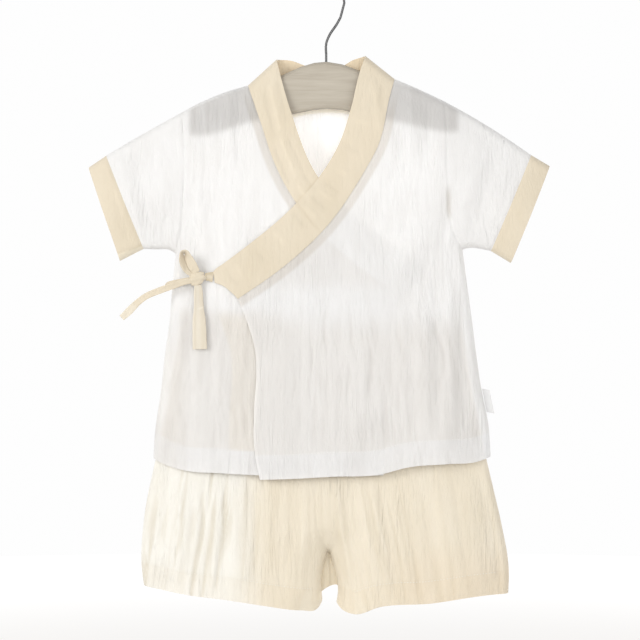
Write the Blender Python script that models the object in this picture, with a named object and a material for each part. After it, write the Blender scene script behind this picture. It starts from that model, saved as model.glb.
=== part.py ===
"""Kimono pajama set on a hanger: a wrap top with short sleeves, and shorts hung inside its hem.

The origin is inside the crown of the hanger's hook. +X is the wearer's left, -Y the front and
+Z up. Tables are in millimetres, and every mesh is made in metres.
"""

from collections import namedtuple

import bpy
import numpy as np

MM = 0.001

# Cloth and clearances
WALL = 1.2
HALF_GAP = 0.15
ARMHOLE_GAP = 0.25
OVERLAP_LIFT = 2.1
LIFT_RUN = 26.0
TIE_WALL = 1.1

# Depth of the hanging top: rounded edges, then a slow swell towards the middle
TOP_EDGE_RADIUS = 8.0
TOP_SWELL_RUN = 60.0
Swell = namedtuple("Swell", "z depth")
TOP_SWELL = (
    Swell(-620.0, 15.0),
    Swell(-480.0, 14.0),
    Swell(-380.0, 11.5),
    Swell(-260.0, 8.5),
    Swell(-130.0, 5.5),
    Swell(-60.0, 4.0),
)

# Depth of the shorts
SHORTS_EDGE_RADIUS = 7.0
SHORTS_SWELL_RUN = 55.0
SEAT_SWELL_RUN = 33.0
SHORTS_SWELL = (
    Swell(-640.0, 13.0),
    Swell(-560.0, 11.0),
    Swell(-480.0, 7.5),
    Swell(-400.0, 8.5),
    Swell(-350.0, 11.0),
    Swell(-310.0, 14.0),
)
WAISTBAND_HEIGHT = 22.0
WAIST_GAP = 0.65
COVER_MARGIN = 22.0
SEAT_DROP = 8.0
SEAT_DROP_RUN = 6.0

# Outlines, seen from the front
Point = namedtuple("Point", "x z")

RIGHT_BAND_FOLD = (Point(-78.0, -99.5), Point(-49.5, -73.5))
LEFT_BAND_FOLD = (Point(68.5, -93.0), Point(39.5, -70.0))

RIGHT_SHOULDER = (
    Point(-78.0, -99.5),
    Point(-100.0, -106.0),
    Point(-131.2, -119.4),
    Point(-144.0, -126.5),
)
LEFT_SHOULDER = (
    Point(68.5, -93.0),
    Point(92.0, -103.0),
    Point(118.3, -115.4),
)

RIGHT_SLEEVE_TOP = (
    Point(-144.0, -126.5),
    Point(-182.0, -147.5),
    Point(-219.7, -169.6),
)
LEFT_SLEEVE_TOP = (
    Point(118.3, -115.4),
    Point(143.0, -129.0),
    Point(169.7, -145.2),
    Point(205.0, -169.0),
)

RIGHT_SLEEVE_UNDER = (
    Point(-150.3, -267.7),
    Point(-157.0, -263.8),
    Point(-170.0, -263.4),
    Point(-182.2, -262.9),
)
LEFT_SLEEVE_UNDER = (
    Point(136.5, -263.8),
    Point(143.0, -261.8),
    Point(153.0, -262.6),
    Point(164.7, -265.0),
)

RIGHT_CUFF_TOP = (Point(-219.7, -169.6), Point(-237.2, -181.5))
LEFT_CUFF_TOP = (Point(205.0, -169.0), Point(223.6, -180.0))
RIGHT_CUFF_UNDER = (Point(-182.2, -262.9), Point(-206.1, -272.4))
LEFT_CUFF_UNDER = (Point(164.7, -265.0), Point(184.6, -277.0))
RIGHT_CUFF_DROP = 5.0
CUFF_HALF_DEPTH = 12.0

RIGHT_ARMHOLE = (
    Point(-144.0, -126.5),
    Point(-141.5, -165.0),
    Point(-142.5, -215.0),
    Point(-145.5, -250.0),
    Point(-150.3, -267.7),
)
LEFT_ARMHOLE = (
    Point(118.3, -115.4),
    Point(120.0, -147.0),
    Point(121.0, -200.0),
    Point(126.0, -244.0),
    Point(136.5, -263.8),
)

RIGHT_SIDE = (
    Point(-150.3, -267.7),
    Point(-154.0, -304.0),
    Point(-156.4, -335.0),
    Point(-160.8, -366.0),
    Point(-164.5, -401.0),
    Point(-171.3, -450.0),
    Point(-172.5, -472.0),
)
LEFT_SIDE = (
    Point(136.5, -263.8),
    Point(141.2, -299.0),
    Point(145.2, -328.0),
    Point(150.0, -366.0),
    Point(155.0, -401.0),
    Point(162.6, -440.0),
    Point(164.7, -470.3),
)

# Crossing edges: the seam that joins a front to the neckband, then its free edge
OUTER_NECK_SEAM = (
    Point(68.5, -93.0),
    Point(63.6, -110.4),
    Point(51.9, -160.0),
    Point(37.0, -188.0),
    Point(-1.1, -243.0),
    Point(-36.6, -276.5),
    Point(-87.6, -313.0),
)
INNER_NECK_SEAM = (
    Point(-78.0, -99.5),
    Point(-64.0, -140.3),
    Point(-51.2, -177.8),
    Point(-29.8, -217.3),
    Point(-6.0, -246.0),
    Point(28.0, -277.0),
    Point(79.0, -313.0),
)
OUTER_FREE_EDGE = (
    Point(-87.6, -313.0),
    Point(-78.7, -335.0),
    Point(-70.6, -363.0),
    Point(-69.1, -387.0),
    Point(-71.3, -422.0),
    Point(-71.3, -460.0),
    Point(-65.5, -492.3),
)
INNER_FREE_EDGE = (
    Point(79.0, -313.0),
    Point(66.0, -348.0),
    Point(60.0, -400.0),
    Point(60.0, -450.0),
    Point(57.0, -488.0),
)
OUTER_BAND_EDGE = (
    Point(39.5, -70.0),
    Point(34.5, -84.0),
    Point(23.8, -127.0),
    Point(13.8, -157.0),
    Point(-7.8, -193.0),
    Point(-41.8, -230.0),
    Point(-75.3, -258.0),
    Point(-104.0, -279.5),
)
INNER_BAND_EDGE = (
    Point(-49.5, -73.5),
    Point(-45.8, -88.8),
    Point(-34.4, -128.3),
    Point(-7.7, -192.0),
    Point(27.0, -229.0),
    Point(64.0, -258.0),
    Point(99.5, -281.0),
)
BACK_NECK_SEAM = (
    Point(-78.0, -99.5),
    Point(-56.0, -110.0),
    Point(-28.0, -116.5),
    Point(-4.0, -118.0),
    Point(20.0, -115.5),
    Point(47.0, -106.5),
    Point(68.5, -93.0),
)
BACK_BAND_EDGE = (
    Point(-49.5, -73.5),
    Point(-36.0, -73.8),
    Point(-20.0, -79.0),
    Point(-3.0, -82.5),
    Point(14.0, -80.5),
    Point(28.0, -73.0),
    Point(39.5, -70.0),
)

# The band's end narrows to the tie that is sewn to it
BandEnd = namedtuple("BandEnd", "seam_x seam_z edge_x edge_z")
BAND_END = (
    BandEnd(-94.0, -306.6, -107.6, -281.8),
    BandEnd(-101.5, -300.6, -110.2, -283.8),
    BandEnd(-112.0, -296.5, -112.4, -286.5),
)

OUTER_HEM = (
    Point(-65.5, -492.3),
    Point(-35.0, -491.5),
    Point(4.0, -489.3),
    Point(53.0, -487.1),
    Point(82.5, -479.8),
    Point(120.7, -476.9),
    Point(150.0, -475.2),
    Point(164.7, -470.3),
)
INNER_HEM = (
    Point(-172.5, -472.0),
    Point(-158.0, -479.0),
    Point(-140.3, -483.5),
    Point(-108.0, -485.7),
    Point(-68.4, -487.9),
    Point(57.0, -488.0),
)
BACK_HEM = (
    Point(-172.5, -472.0),
    Point(-150.0, -479.0),
    Point(-80.0, -483.0),
    Point(70.0, -482.0),
    Point(140.0, -476.5),
    Point(164.7, -470.3),
)

# Shorts
RIGHT_OUTSEAM = (
    Point(-146.0, -320.0),
    Point(-147.0, -343.0),
    Point(-152.5, -385.0),
    Point(-160.0, -430.0),
    Point(-168.6, -466.0),
    Point(-173.2, -486.0),
    Point(-177.6, -506.0),
    Point(-183.2, -544.0),
    Point(-184.6, -578.0),
    Point(-182.0, -599.0),
)
LEFT_OUTSEAM = (
    Point(136.0, -327.0),
    Point(137.5, -349.0),
    Point(143.5, -390.0),
    Point(152.0, -435.0),
    Point(160.2, -472.0),
    Point(167.5, -503.0),
    Point(175.5, -538.0),
    Point(182.9, -584.6),
    Point(182.2, -606.7),
)
CENTRE_SEAM = (
    Point(-6.0, -348.5),
    Point(-8.0, -420.0),
    Point(-10.0, -492.0),
    Point(-7.0, -545.0),
    Point(1.8, -567.0),
)
RIGHT_INSEAM = (
    Point(1.8, -567.0),
    Point(2.2, -580.0),
    Point(2.2, -593.0),
    Point(-2.4, -603.0),
    Point(-4.0, -618.0),
)
LEFT_INSEAM = (
    Point(3.2, -567.0),
    Point(4.2, -580.0),
    Point(4.6, -593.0),
    Point(10.4, -603.0),
    Point(11.6, -617.5),
)
RIGHT_LEG_HEM = (
    Point(-182.0, -599.0),
    Point(-142.0, -606.5),
    Point(-95.0, -613.4),
    Point(-65.4, -618.8),
    Point(-18.5, -625.3),
    Point(-9.0, -624.0),
    Point(-4.0, -618.0),
)
LEFT_LEG_HEM = (
    Point(182.2, -606.7),
    Point(144.7, -611.4),
    Point(104.5, -616.8),
    Point(53.6, -620.8),
    Point(27.0, -626.6),
    Point(17.0, -623.5),
    Point(11.6, -617.5),
)

# Soft folds, each along a straight line from its upper to its lower end; a minus height is a trough
Fold = namedtuple("Fold", "x_top z_top x_low z_low half_width height")
OUTER_FOLDS = (
    Fold(104.0, -114.0, 96.0, -192.0, 9.0, -1.4),
    Fold(127.0, -196.0, 120.0, -258.0, 8.0, -2.6),
    Fold(112.0, -236.0, 60.0, -300.0, 13.0, 2.0),
    Fold(128.0, -290.0, 118.0, -470.0, 10.0, 1.8),
    Fold(96.0, -320.0, 92.0, -480.0, 9.0, 1.6),
    Fold(30.0, -360.0, 26.0, -486.0, 11.0, 1.4),
    Fold(-40.0, -340.0, -44.0, -488.0, 10.0, 1.5),
    Fold(176.0, -160.0, 146.0, -252.0, 10.0, -1.5),
)
INNER_FOLDS = (
    Fold(-91.0, -104.0, -88.0, -186.0, 8.0, -1.8),
    Fold(-108.0, -112.0, -106.0, -176.0, 8.0, -1.3),
    Fold(-139.0, -236.0, -122.0, -276.0, 9.0, -1.8),
    Fold(-128.0, -318.0, -136.0, -476.0, 9.0, 1.6),
    Fold(-104.0, -330.0, -110.0, -478.0, 8.0, -1.3),
    Fold(-190.0, -158.0, -168.0, -256.0, 10.0, -1.5),
)
BACK_FOLDS = (
    Fold(-96.0, -112.0, -90.0, -230.0, 10.0, -1.8),
    Fold(86.0, -108.0, 80.0, -236.0, 10.0, -1.8),
    Fold(-20.0, -150.0, -26.0, -300.0, 12.0, -1.2),
    Fold(-120.0, -290.0, -130.0, -476.0, 11.0, 2.0),
    Fold(-60.0, -330.0, -66.0, -480.0, 12.0, -1.6),
    Fold(16.0, -310.0, 18.0, -480.0, 12.0, 1.8),
    Fold(112.0, -300.0, 122.0, -474.0, 11.0, 2.0),
    Fold(126.0, -196.0, 120.0, -256.0, 9.0, -2.0),
    Fold(-139.0, -210.0, -128.0, -262.0, 9.0, -1.8),
)
SHORTS_FRONT_FOLDS = (
    Fold(-148.0, -488.0, -152.0, -598.0, 8.0, 1.8),
    Fold(-120.0, -482.0, -124.0, -606.0, 8.0, -1.8),
    Fold(-92.0, -486.0, -88.0, -606.0, 9.0, 1.6),
    Fold(-36.0, -500.0, -40.0, -616.0, 9.0, -1.4),
    Fold(22.0, -486.0, 40.0, -618.0, 8.0, -1.8),
    Fold(44.0, -484.0, 62.0, -616.0, 8.0, 1.8),
    Fold(96.0, -490.0, 112.0, -612.0, 10.0, -1.5),
    Fold(140.0, -484.0, 158.0, -604.0, 9.0, 1.8),
)
SHORTS_BACK_FOLDS = (
    Fold(-130.0, -486.0, -138.0, -602.0, 10.0, 1.8),
    Fold(-84.0, -484.0, -90.0, -610.0, 10.0, -1.8),
    Fold(-34.0, -490.0, -36.0, -614.0, 9.0, 1.4),
    Fold(36.0, -488.0, 46.0, -616.0, 9.0, -1.6),
    Fold(84.0, -484.0, 96.0, -612.0, 10.0, 1.8),
    Fold(134.0, -486.0, 148.0, -604.0, 10.0, -1.6),
)
FOLD_END_RUN = 22.0
FOLD_SIDE_RUN = 14.0

# Tie strips: the middle of each section, its width, and the turn of its face about its length
TieSection = namedtuple("TieSection", "x y z width turn")
TIE_FRONT = (
    TieSection(-113.6, -16.6, -291.4, 10.0, 0.0),
    TieSection(-116.8, -17.2, -291.0, 8.5, 10.0),
    TieSection(-119.8, -17.8, -291.4, 7.5, 15.0),
)
TIE_SIDE = (
    TieSection(-157.3, -1.6, -300.0, 7.0, 0.0),
    TieSection(-156.2, -8.2, -299.0, 7.0, 0.0),
    TieSection(-148.6, -11.2, -297.0, 6.5, 0.0),
    TieSection(-139.6, -12.6, -295.0, 6.0, 0.0),
    TieSection(-131.8, -14.4, -293.6, 5.0, 0.0),
)
TIE_LOOP = (
    TieSection(-128.3, -19.6, -286.4, 7.0, 20.0),
    TieSection(-131.6, -21.6, -280.0, 8.5, 30.0),
    TieSection(-135.6, -22.6, -272.8, 9.0, 45.0),
    TieSection(-139.4, -22.8, -266.6, 9.0, 68.0),
    TieSection(-142.6, -22.4, -267.0, 9.0, 76.0),
    TieSection(-143.4, -21.6, -272.5, 8.0, 62.0),
    TieSection(-141.4, -20.6, -279.6, 7.0, 45.0),
    TieSection(-137.2, -19.6, -285.6, 5.5, 25.0),
    TieSection(-132.6, -18.8, -288.4, 4.0, 10.0),
)
TIE_TAIL_SIDE = (
    TieSection(-131.1, -19.2, -294.8, 5.5, 0.0),
    TieSection(-141.0, -20.2, -295.6, 7.5, 10.0),
    TieSection(-152.0, -19.4, -298.8, 8.5, 18.0),
    TieSection(-166.0, -17.8, -303.8, 8.0, 10.0),
    TieSection(-179.0, -16.8, -309.2, 7.5, 0.0),
    TieSection(-188.0, -16.0, -316.0, 7.0, -15.0),
    TieSection(-196.0, -15.4, -324.6, 7.5, -20.0),
    TieSection(-203.2, -15.0, -331.6, 7.0, -10.0),
)
TIE_TAIL_DOWN = (
    TieSection(-127.2, -18.6, -299.2, 7.0, 0.0),
    TieSection(-126.8, -18.6, -306.0, 9.0, 10.0),
    TieSection(-126.4, -18.6, -316.0, 9.5, 12.0),
    TieSection(-126.2, -18.6, -325.0, 10.5, 6.0),
    TieSection(-126.0, -18.8, -333.0, 13.0, 0.0),
    TieSection(-125.6, -19.2, -348.0, 14.0, 0.0),
    TieSection(-125.2, -19.6, -363.0, 14.5, 0.0),
)
KNOT_CENTRE = (-125.6, -18.2, -292.4)
KNOT_HALF_SIZES = (5.4, 3.2, 6.4)
KNOT_GROOVE = 0.12

# Side label: a bare folded tab that stands out of the side seam
LABEL_TOP = Point(155.9, -402.5)
LABEL_LOW = Point(160.7, -426.0)
LABEL_REACH = 7.6
LABEL_DROP = 1.6
LABEL_WALL = 1.0

# Hanger: its upper and lower edges, and the half thickness of its wood
HangerSection = namedtuple("HangerSection", "x top low")
HANGER = (
    HangerSection(-139.6, -131.0, -143.0),
    HangerSection(-138.4, -127.4, -147.6),
    HangerSection(-134.0, -123.4, -151.2),
    HangerSection(-124.0, -118.7, -151.6),
    HangerSection(-111.0, -113.0, -149.6),
    HangerSection(-94.0, -106.2, -144.0),
    HangerSection(-78.0, -101.6, -138.4),
    HangerSection(-60.0, -95.4, -133.8),
    HangerSection(-45.0, -89.5, -130.6),
    HangerSection(-25.0, -80.8, -126.4),
    HangerSection(-12.0, -76.9, -123.7),
    HangerSection(0.5, -75.7, -122.7),
    HangerSection(16.0, -78.3, -123.8),
    HangerSection(33.0, -84.4, -128.0),
    HangerSection(50.0, -90.6, -132.6),
    HangerSection(68.0, -96.8, -137.6),
    HangerSection(92.0, -105.0, -143.0),
    HangerSection(108.0, -112.5, -146.4),
    HangerSection(121.0, -119.4, -148.4),
    HangerSection(131.0, -124.6, -147.6),
    HangerSection(134.8, -128.2, -144.8),
    HangerSection(135.8, -131.6, -141.4),
)
HANGER_HALF_THICKNESS = 6.0
HANGER_LOW_ROUND = 3.0
HANGER_TIP_ROUND = 3.5
HANGER_TIP_FLAT = 0.4
HANGER_ROUND_SHARE = 0.45
HANGER_TOP_ANGLES = (-90.0, -60.0, -30.0, 0.0, 30.0, 60.0, 90.0)
HANGER_LOW_ANGLES = (0.0, 45.0, 90.0)
SOCKET_DEPTH = 24.0
SOCKET_CLEARANCE = 0.3
SOCKET_SIDES = 12

# Hook: a straight stem, a swan neck and a round crown
WIRE_RADIUS = 1.3
HOOK_INNER_RADIUS = 17.0
HOOK_STEM = (
    Point(0.2, -96.0),
    Point(0.2, -70.0),
    Point(0.3, -57.0),
    Point(3.6, -48.9),
    Point(10.4, -38.8),
    Point(15.2, -30.0),
)
HOOK_ARC_END = 150.0
HOOK_ARC_STEP = 15.0
STEM_STEP = 4
BEND_STEP = 7
WIRE_SIDES = 10
BallSection = namedtuple("BallSection", "beyond radius")
HOOK_BALL = (
    BallSection(1.2, 1.98),
    BallSection(2.8, 2.2),
    BallSection(4.2, 1.58),
    BallSection(4.9, 0.66),
)

# Mesh density
CURVE_STEPS = 14
EDGE_ANGLES = (0.0, 22.5, 45.0, 67.5, 90.0)


def smooth_line(points):
    """Dense polyline through the points, on a cubic curve with chord-length spacing."""
    points = np.array(points, float)
    if len(points) < 3:
        share = np.linspace(0.0, 1.0, CURVE_STEPS + 1)[:, None]
        return points[0] * (1.0 - share) + points[-1] * share
    chords = np.linalg.norm(np.diff(points, axis=0), axis=1)
    slopes = np.diff(points, axis=0) / chords[:, None]
    before, after = chords[:-1, None], chords[1:, None]
    inner = (slopes[:-1] * after + slopes[1:] * before) / (before + after)
    tangents = np.vstack([1.5 * slopes[0] - 0.5 * inner[0], inner, 1.5 * slopes[-1] - 0.5 * inner[-1]])
    rows = []
    share = np.linspace(0.0, 1.0, CURVE_STEPS, endpoint=False)[:, None]
    for i, chord in enumerate(chords):
        rows.append(
            points[i] * (2.0 * share**3 - 3.0 * share**2 + 1.0)
            + points[i + 1] * (3.0 * share**2 - 2.0 * share**3)
            + tangents[i] * chord * (share**3 - 2.0 * share**2 + share)
            + tangents[i + 1] * chord * (share**3 - share**2)
        )
    return np.vstack(rows + [points[-1:]])


def run_of(line):
    """Distance along a polyline at each of its points."""
    return np.concatenate([[0.0], np.cumsum(np.linalg.norm(np.diff(line, axis=0), axis=1))])


def length_of(line):
    return run_of(line)[-1]


def along(line, distances):
    """Points of a polyline at these distances from its start."""
    run = run_of(line)
    return np.stack([np.interp(distances, run, line[:, axis]) for axis in range(2)], axis=1)


def offset_line(points, distance):
    """Points moved sideways in the plane, to the left of their own direction."""
    step = np.gradient(points, axis=0)
    step /= np.linalg.norm(step, axis=1)[:, None]
    return points + distance * np.stack([-step[:, 1], step[:, 0]], axis=1)


def edge_steps(radius):
    """Distances from a rounded edge that divide its quarter circle evenly."""
    return [radius * (1.0 - np.cos(np.radians(angle))) for angle in EDGE_ANGLES]


def spread(length, middle, radius=TOP_EDGE_RADIUS, both=True, factor=1.0):
    """Distances along a length, close together at a rounded start, and at its end if both."""
    near = [factor * step for step in edge_steps(radius)]
    if not both:
        return np.array(near + list(np.linspace(near[-1], length, middle + 1)[1:]))
    far = [length - step for step in reversed(near)]
    return np.array(near + list(np.linspace(near[-1], far[0], middle + 1)[1:-1]) + far)


def joined(*lines):
    """One polyline out of several, each going on where the last one ends."""
    return np.vstack([lines[0]] + [line[1:] for line in lines[1:]])


def distance_to(points, line):
    """Shortest distance of each point from a polyline."""
    start, step = line[:-1], np.diff(line, axis=0)
    square = np.maximum((step**2).sum(axis=1), 1e-12)
    toward = points[:, None, :] - start[None]
    share = np.clip((toward * step[None]).sum(axis=2) / square, 0.0, 1.0)
    return np.linalg.norm(toward - share[..., None] * step[None], axis=2).min(axis=1)


def ease(value):
    """Smooth step from 0 to 1."""
    value = np.clip(value, 0.0, 1.0)
    return value * value * (3.0 - 2.0 * value)


def rounding(distance, radius):
    """Height of a quarter circle of this radius, this far in from its edge."""
    return np.sqrt(radius**2 - (radius - np.clip(distance, 0.0, radius)) ** 2)


def swell_at(table, z):
    return np.interp(z, [row.z for row in table], [row.depth for row in table])


def fold_height(table, points):
    """Sum of the soft folds at each point."""
    total = np.zeros(len(points))
    for fold in table:
        top = np.array([fold.x_top, fold.z_top])
        run = np.array([fold.x_low, fold.z_low]) - top
        length = np.linalg.norm(run)
        run /= length
        toward = points - top
        down = toward @ run
        across = toward @ np.array([-run[1], run[0]])
        ends = ease(down / FOLD_END_RUN) * ease((length - down) / FOLD_END_RUN)
        total += fold.height * ends * np.exp(-((across / fold.half_width) ** 2))
    return total


# The top's outline, as four edges
right_shoulder = smooth_line(RIGHT_SHOULDER)
left_shoulder = smooth_line(LEFT_SHOULDER)
right_sleeve_top = smooth_line(RIGHT_SLEEVE_TOP)
left_sleeve_top = smooth_line(LEFT_SLEEVE_TOP)
right_sleeve_under = smooth_line(RIGHT_SLEEVE_UNDER)
left_sleeve_under = smooth_line(LEFT_SLEEVE_UNDER)
right_side = smooth_line(RIGHT_SIDE)
left_side = smooth_line(LEFT_SIDE)
right_cuff_top = smooth_line(RIGHT_CUFF_TOP)
left_cuff_top = smooth_line(LEFT_CUFF_TOP)
right_cuff_under = smooth_line(RIGHT_CUFF_UNDER)
left_cuff_under = smooth_line(LEFT_CUFF_UNDER)
right_fold = smooth_line(RIGHT_BAND_FOLD)
left_fold = smooth_line(LEFT_BAND_FOLD)
RIGHT_UPPER = joined(right_fold[::-1], right_shoulder, right_sleeve_top, right_cuff_top)
LEFT_UPPER = joined(left_fold[::-1], left_shoulder, left_sleeve_top, left_cuff_top)
RIGHT_LOWER = joined(right_cuff_under[::-1], right_sleeve_under[::-1], right_side)
LEFT_LOWER = joined(left_cuff_under[::-1], left_sleeve_under[::-1], left_side)


def top_depth(points, folds, inset=0.0, lifted=False):
    """Half depth of the top's outer face, or with an inset its inner face, at each point."""
    right_up, left_up = distance_to(points, RIGHT_UPPER), distance_to(points, LEFT_UPPER)
    right_low, left_low = distance_to(points, RIGHT_LOWER), distance_to(points, LEFT_LOWER)
    upper, lower = np.minimum(right_up, left_up), np.minimum(right_low, left_low)
    edge = np.minimum(upper, lower)
    depth = rounding(edge - inset, TOP_EDGE_RADIUS - inset)
    swell = ease(upper / TOP_SWELL_RUN) * ease(lower / TOP_SWELL_RUN)
    depth += swell_at(TOP_SWELL, points[:, 1]) * swell
    depth += fold_height(folds, points) * ease(edge / FOLD_SIDE_RUN)
    if lifted:
        depth += OVERLAP_LIFT * ease(np.minimum(left_up, left_low) / LIFT_RUN)
    return depth


def front_outer(points, inset=0.0):
    return -top_depth(points, OUTER_FOLDS, inset, lifted=True)


def front_inner(points, inset=0.0):
    return -top_depth(points, INNER_FOLDS, inset)


def back(points, inset=0.0):
    return top_depth(points, BACK_FOLDS, inset)


RIGHT_OUT = smooth_line(RIGHT_OUTSEAM)
LEFT_OUT = smooth_line(LEFT_OUTSEAM)
RIGHT_IN = smooth_line(RIGHT_INSEAM)
LEFT_IN = smooth_line(LEFT_INSEAM)


def shorts_depth(points, folds, inset=0.0, waistband=False):
    """Half depth of the shorts, pressed flat where the top lies over them."""
    out = np.minimum(distance_to(points, RIGHT_OUT), distance_to(points, LEFT_OUT))
    seat = np.minimum(distance_to(points, RIGHT_IN), distance_to(points, LEFT_IN))
    edge = out if waistband else np.minimum(out, seat)
    radius = SHORTS_EDGE_RADIUS
    depth = rounding(edge - inset, radius - inset)
    swell = swell_at(SHORTS_SWELL, points[:, 1]) * ease(out / SHORTS_SWELL_RUN)
    depth += swell if waistband else swell * ease(seat / SEAT_SWELL_RUN)
    depth += fold_height(folds, points) * ease(edge / FOLD_SIDE_RUN)
    room = np.minimum(
        top_depth(points, INNER_FOLDS, WALL), top_depth(points, BACK_FOLDS, WALL)
    )
    inside = points[:, 1] > RIGHT_SIDE[-1].z - COVER_MARGIN
    limit = np.maximum(room - WAIST_GAP - inset, 0.0)
    return np.where(inside, np.minimum(depth, limit), depth)


def shorts_middle(points):
    """How far back the shorts' seams lie at the inseam."""
    seat = np.minimum(distance_to(points, RIGHT_IN), distance_to(points, LEFT_IN))
    return SEAT_DROP * np.exp(-seat / SEAT_DROP_RUN)


def shorts_front(points, inset=0.0):
    return shorts_middle(points) - shorts_depth(points, SHORTS_FRONT_FOLDS, inset)


def shorts_back(points, inset=0.0):
    return shorts_middle(points) + shorts_depth(points, SHORTS_BACK_FOLDS, inset)


def shares(points):
    run = run_of(points)
    return run / run[-1]


def patch(top, low, left, right):
    """Grid of points between four edges: top and low have its columns, left and right its rows."""
    top_share, low_share = shares(top), shares(low)
    top = top + (1.0 - top_share)[:, None] * (left[0] - top[0]) + top_share[:, None] * (right[0] - top[-1])
    low = low + (1.0 - low_share)[:, None] * (left[-1] - low[0]) + low_share[:, None] * (right[-1] - low[-1])
    middle = 0.5 * (top_share + low_share)[None, :]
    down = (1.0 - middle) * shares(left)[:, None] + middle * shares(right)[:, None]
    across = (1.0 - down) * top_share[None, :] + down * low_share[None, :]
    ruled = (1.0 - across)[..., None] * left[:, None] + across[..., None] * right[:, None]
    top_bend = top - (1.0 - top_share)[:, None] * left[0] - top_share[:, None] * right[0]
    low_bend = low - (1.0 - low_share)[:, None] * left[-1] - low_share[:, None] * right[-1]
    return ruled + (1.0 - down)[..., None] * top_bend[None] + down[..., None] * low_bend[None]


def raise_grid(grid, face, inset=0.0):
    """Grid of x, y, z from a plane grid and a depth function."""
    flat = grid.reshape(-1, 2)
    depth = face(flat, inset)
    return np.stack([flat[:, 0], depth, flat[:, 1]], axis=1).reshape(*grid.shape[:2], 3)


def keep_clear(grid, side):
    """Keep a panel on its own side of the plane where front and back meet."""
    grid[..., 1] = side * np.maximum(side * grid[..., 1], HALF_GAP)
    return grid


CREASE_ANGLE = 50.0


def material(name, colour, roughness, metallic=0.0):
    made = bpy.data.materials.new(name)
    made.use_nodes = True
    shader = made.node_tree.nodes["Principled BSDF"]
    shader.inputs["Base Color"].default_value = (*colour, 1.0)
    shader.inputs["Roughness"].default_value = roughness
    shader.inputs["Metallic"].default_value = metallic
    return made


def add_object(name, points, faces, finish):
    """Object from points in millimetres, with its faces turned outwards."""
    points = np.asarray(points, float) * MM
    volume = 0.0
    for face in faces:
        for i in range(1, len(face) - 1):
            a, b, c = points[face[0]], points[face[i]], points[face[i + 1]]
            volume += float(np.dot(a, np.cross(b, c)))
    if volume < 0.0:
        faces = [tuple(reversed(face)) for face in faces]
    mesh = bpy.data.meshes.new(name)
    mesh.from_pydata(points.tolist(), [], faces)
    mesh.materials.append(finish)
    mesh.shade_smooth()
    mesh.set_sharp_from_angle(angle=np.radians(CREASE_ANGLE))
    made = bpy.data.objects.new(name, mesh)
    bpy.context.scene.collection.objects.link(made)
    return made


def quads(rows, columns, start, flip, ring_columns=False, ring_rows=False):
    """Faces of a grid whose points start at this index."""
    faces = []
    for r in range(rows if ring_rows else rows - 1):
        for c in range(columns if ring_columns else columns - 1):
            below, beside = (r + 1) % rows, (c + 1) % columns
            face = (
                start + r * columns + c,
                start + r * columns + beside,
                start + below * columns + beside,
                start + below * columns + c,
            )
            faces.append(face[::-1] if flip else face)
    return faces


def add_wall(name, outer, inner, finish, ring=False):
    """Cloth wall between an outer and an inner grid; ring closes it across its columns."""
    rows, columns = outer.shape[:2]
    count = rows * columns
    faces = quads(rows, columns, 0, False, ring_columns=ring)
    faces += quads(rows, columns, count, True, ring_columns=ring)
    border = [(0, c) for c in range(columns)]
    if ring:
        loops = [border + border[:1], [(rows - 1, c) for c in range(columns)][::-1]]
        loops[1] = loops[1][-1:] + loops[1]
    else:
        border += [(r, columns - 1) for r in range(1, rows)]
        border += [(rows - 1, c) for c in range(columns - 2, -1, -1)]
        border += [(r, 0) for r in range(rows - 2, -1, -1)]
        loops = [border]
    for loop in loops:
        for (r, c), (to_r, to_c) in zip(loop[:-1], loop[1:]):
            a, b = r * columns + c, to_r * columns + to_c
            faces.append((b, a, a + count, b + count))
    points = np.vstack([outer.reshape(-1, 3), inner.reshape(-1, 3)])
    return add_object(name, points, faces, finish)


# Spacing that neighbours share, so that their edges match at each seam
SLEEVE_MIDDLE = 6
SLEEVE_STATIONS = 6
CUFF_STATIONS = 2
SEAM_MIDDLE = 12
SEAM_ROWS = SEAM_MIDDLE + 5
SIDE_ROWS = 8
FREE_ROWS = 6
FRONT_COLUMNS = 15
SHOULDER_COLUMNS = 4
NECK_COLUMNS = 7
BODY_WIDTH = 232.0
FOLD_LEAN = 0.9
BACK_EDGE_LEAN = 0.65


def armhole_rows(line, inset=0.0):
    """Points down an armhole, close together at the shoulder and the underarm."""
    length = length_of(line)
    rows = spread(length, SLEEVE_MIDDLE)
    return along(line, inset + rows * (length - 2.0 * inset) / length)


def seam_rows(line, inset=0.0, lean=FOLD_LEAN):
    """Points down a crossing edge, close together at the shoulder fold."""
    length = length_of(line)
    rows = spread(length, SEAM_MIDDLE, both=False, factor=1.0 / lean)
    return along(line, inset / lean + rows * (length - inset / lean) / length)


def side_rows(line, inset, inward):
    """Points down a side seam below the underarm, moved inward for the inner face."""
    points = along(line, np.linspace(0.0, length_of(line), SIDE_ROWS + 1)[1:])
    return offset_line(points, inward * inset)


def shoulder_line(line, inset, inward):
    return offset_line(line, inward * inset)


def front_grid(shoulder, armhole, side, seam, free, hem, inset, hand):
    """Plane grid of a front, from its side edge to its crossing edge; hand is +1 at the wearer's right."""
    edge = armhole_rows(armhole, inset) + [hand * ARMHOLE_GAP, 0.0]
    edge = np.vstack([edge, side_rows(side, inset, hand)])
    free_rows = along(free, np.linspace(0.0, length_of(free), FREE_ROWS + 1)[1:])
    cross = np.vstack([seam_rows(seam, inset), free_rows])
    cross[:SEAM_ROWS] = offset_line(cross[:SEAM_ROWS], -hand * HALF_GAP)
    columns = spread(BODY_WIDTH, FRONT_COLUMNS, both=False) / BODY_WIDTH
    top = shoulder_line(shoulder[::-1], inset, -hand)
    top = along(top, columns * length_of(top))
    low = along(hem, columns * length_of(hem))
    return patch(top, low, edge, cross)


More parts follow.
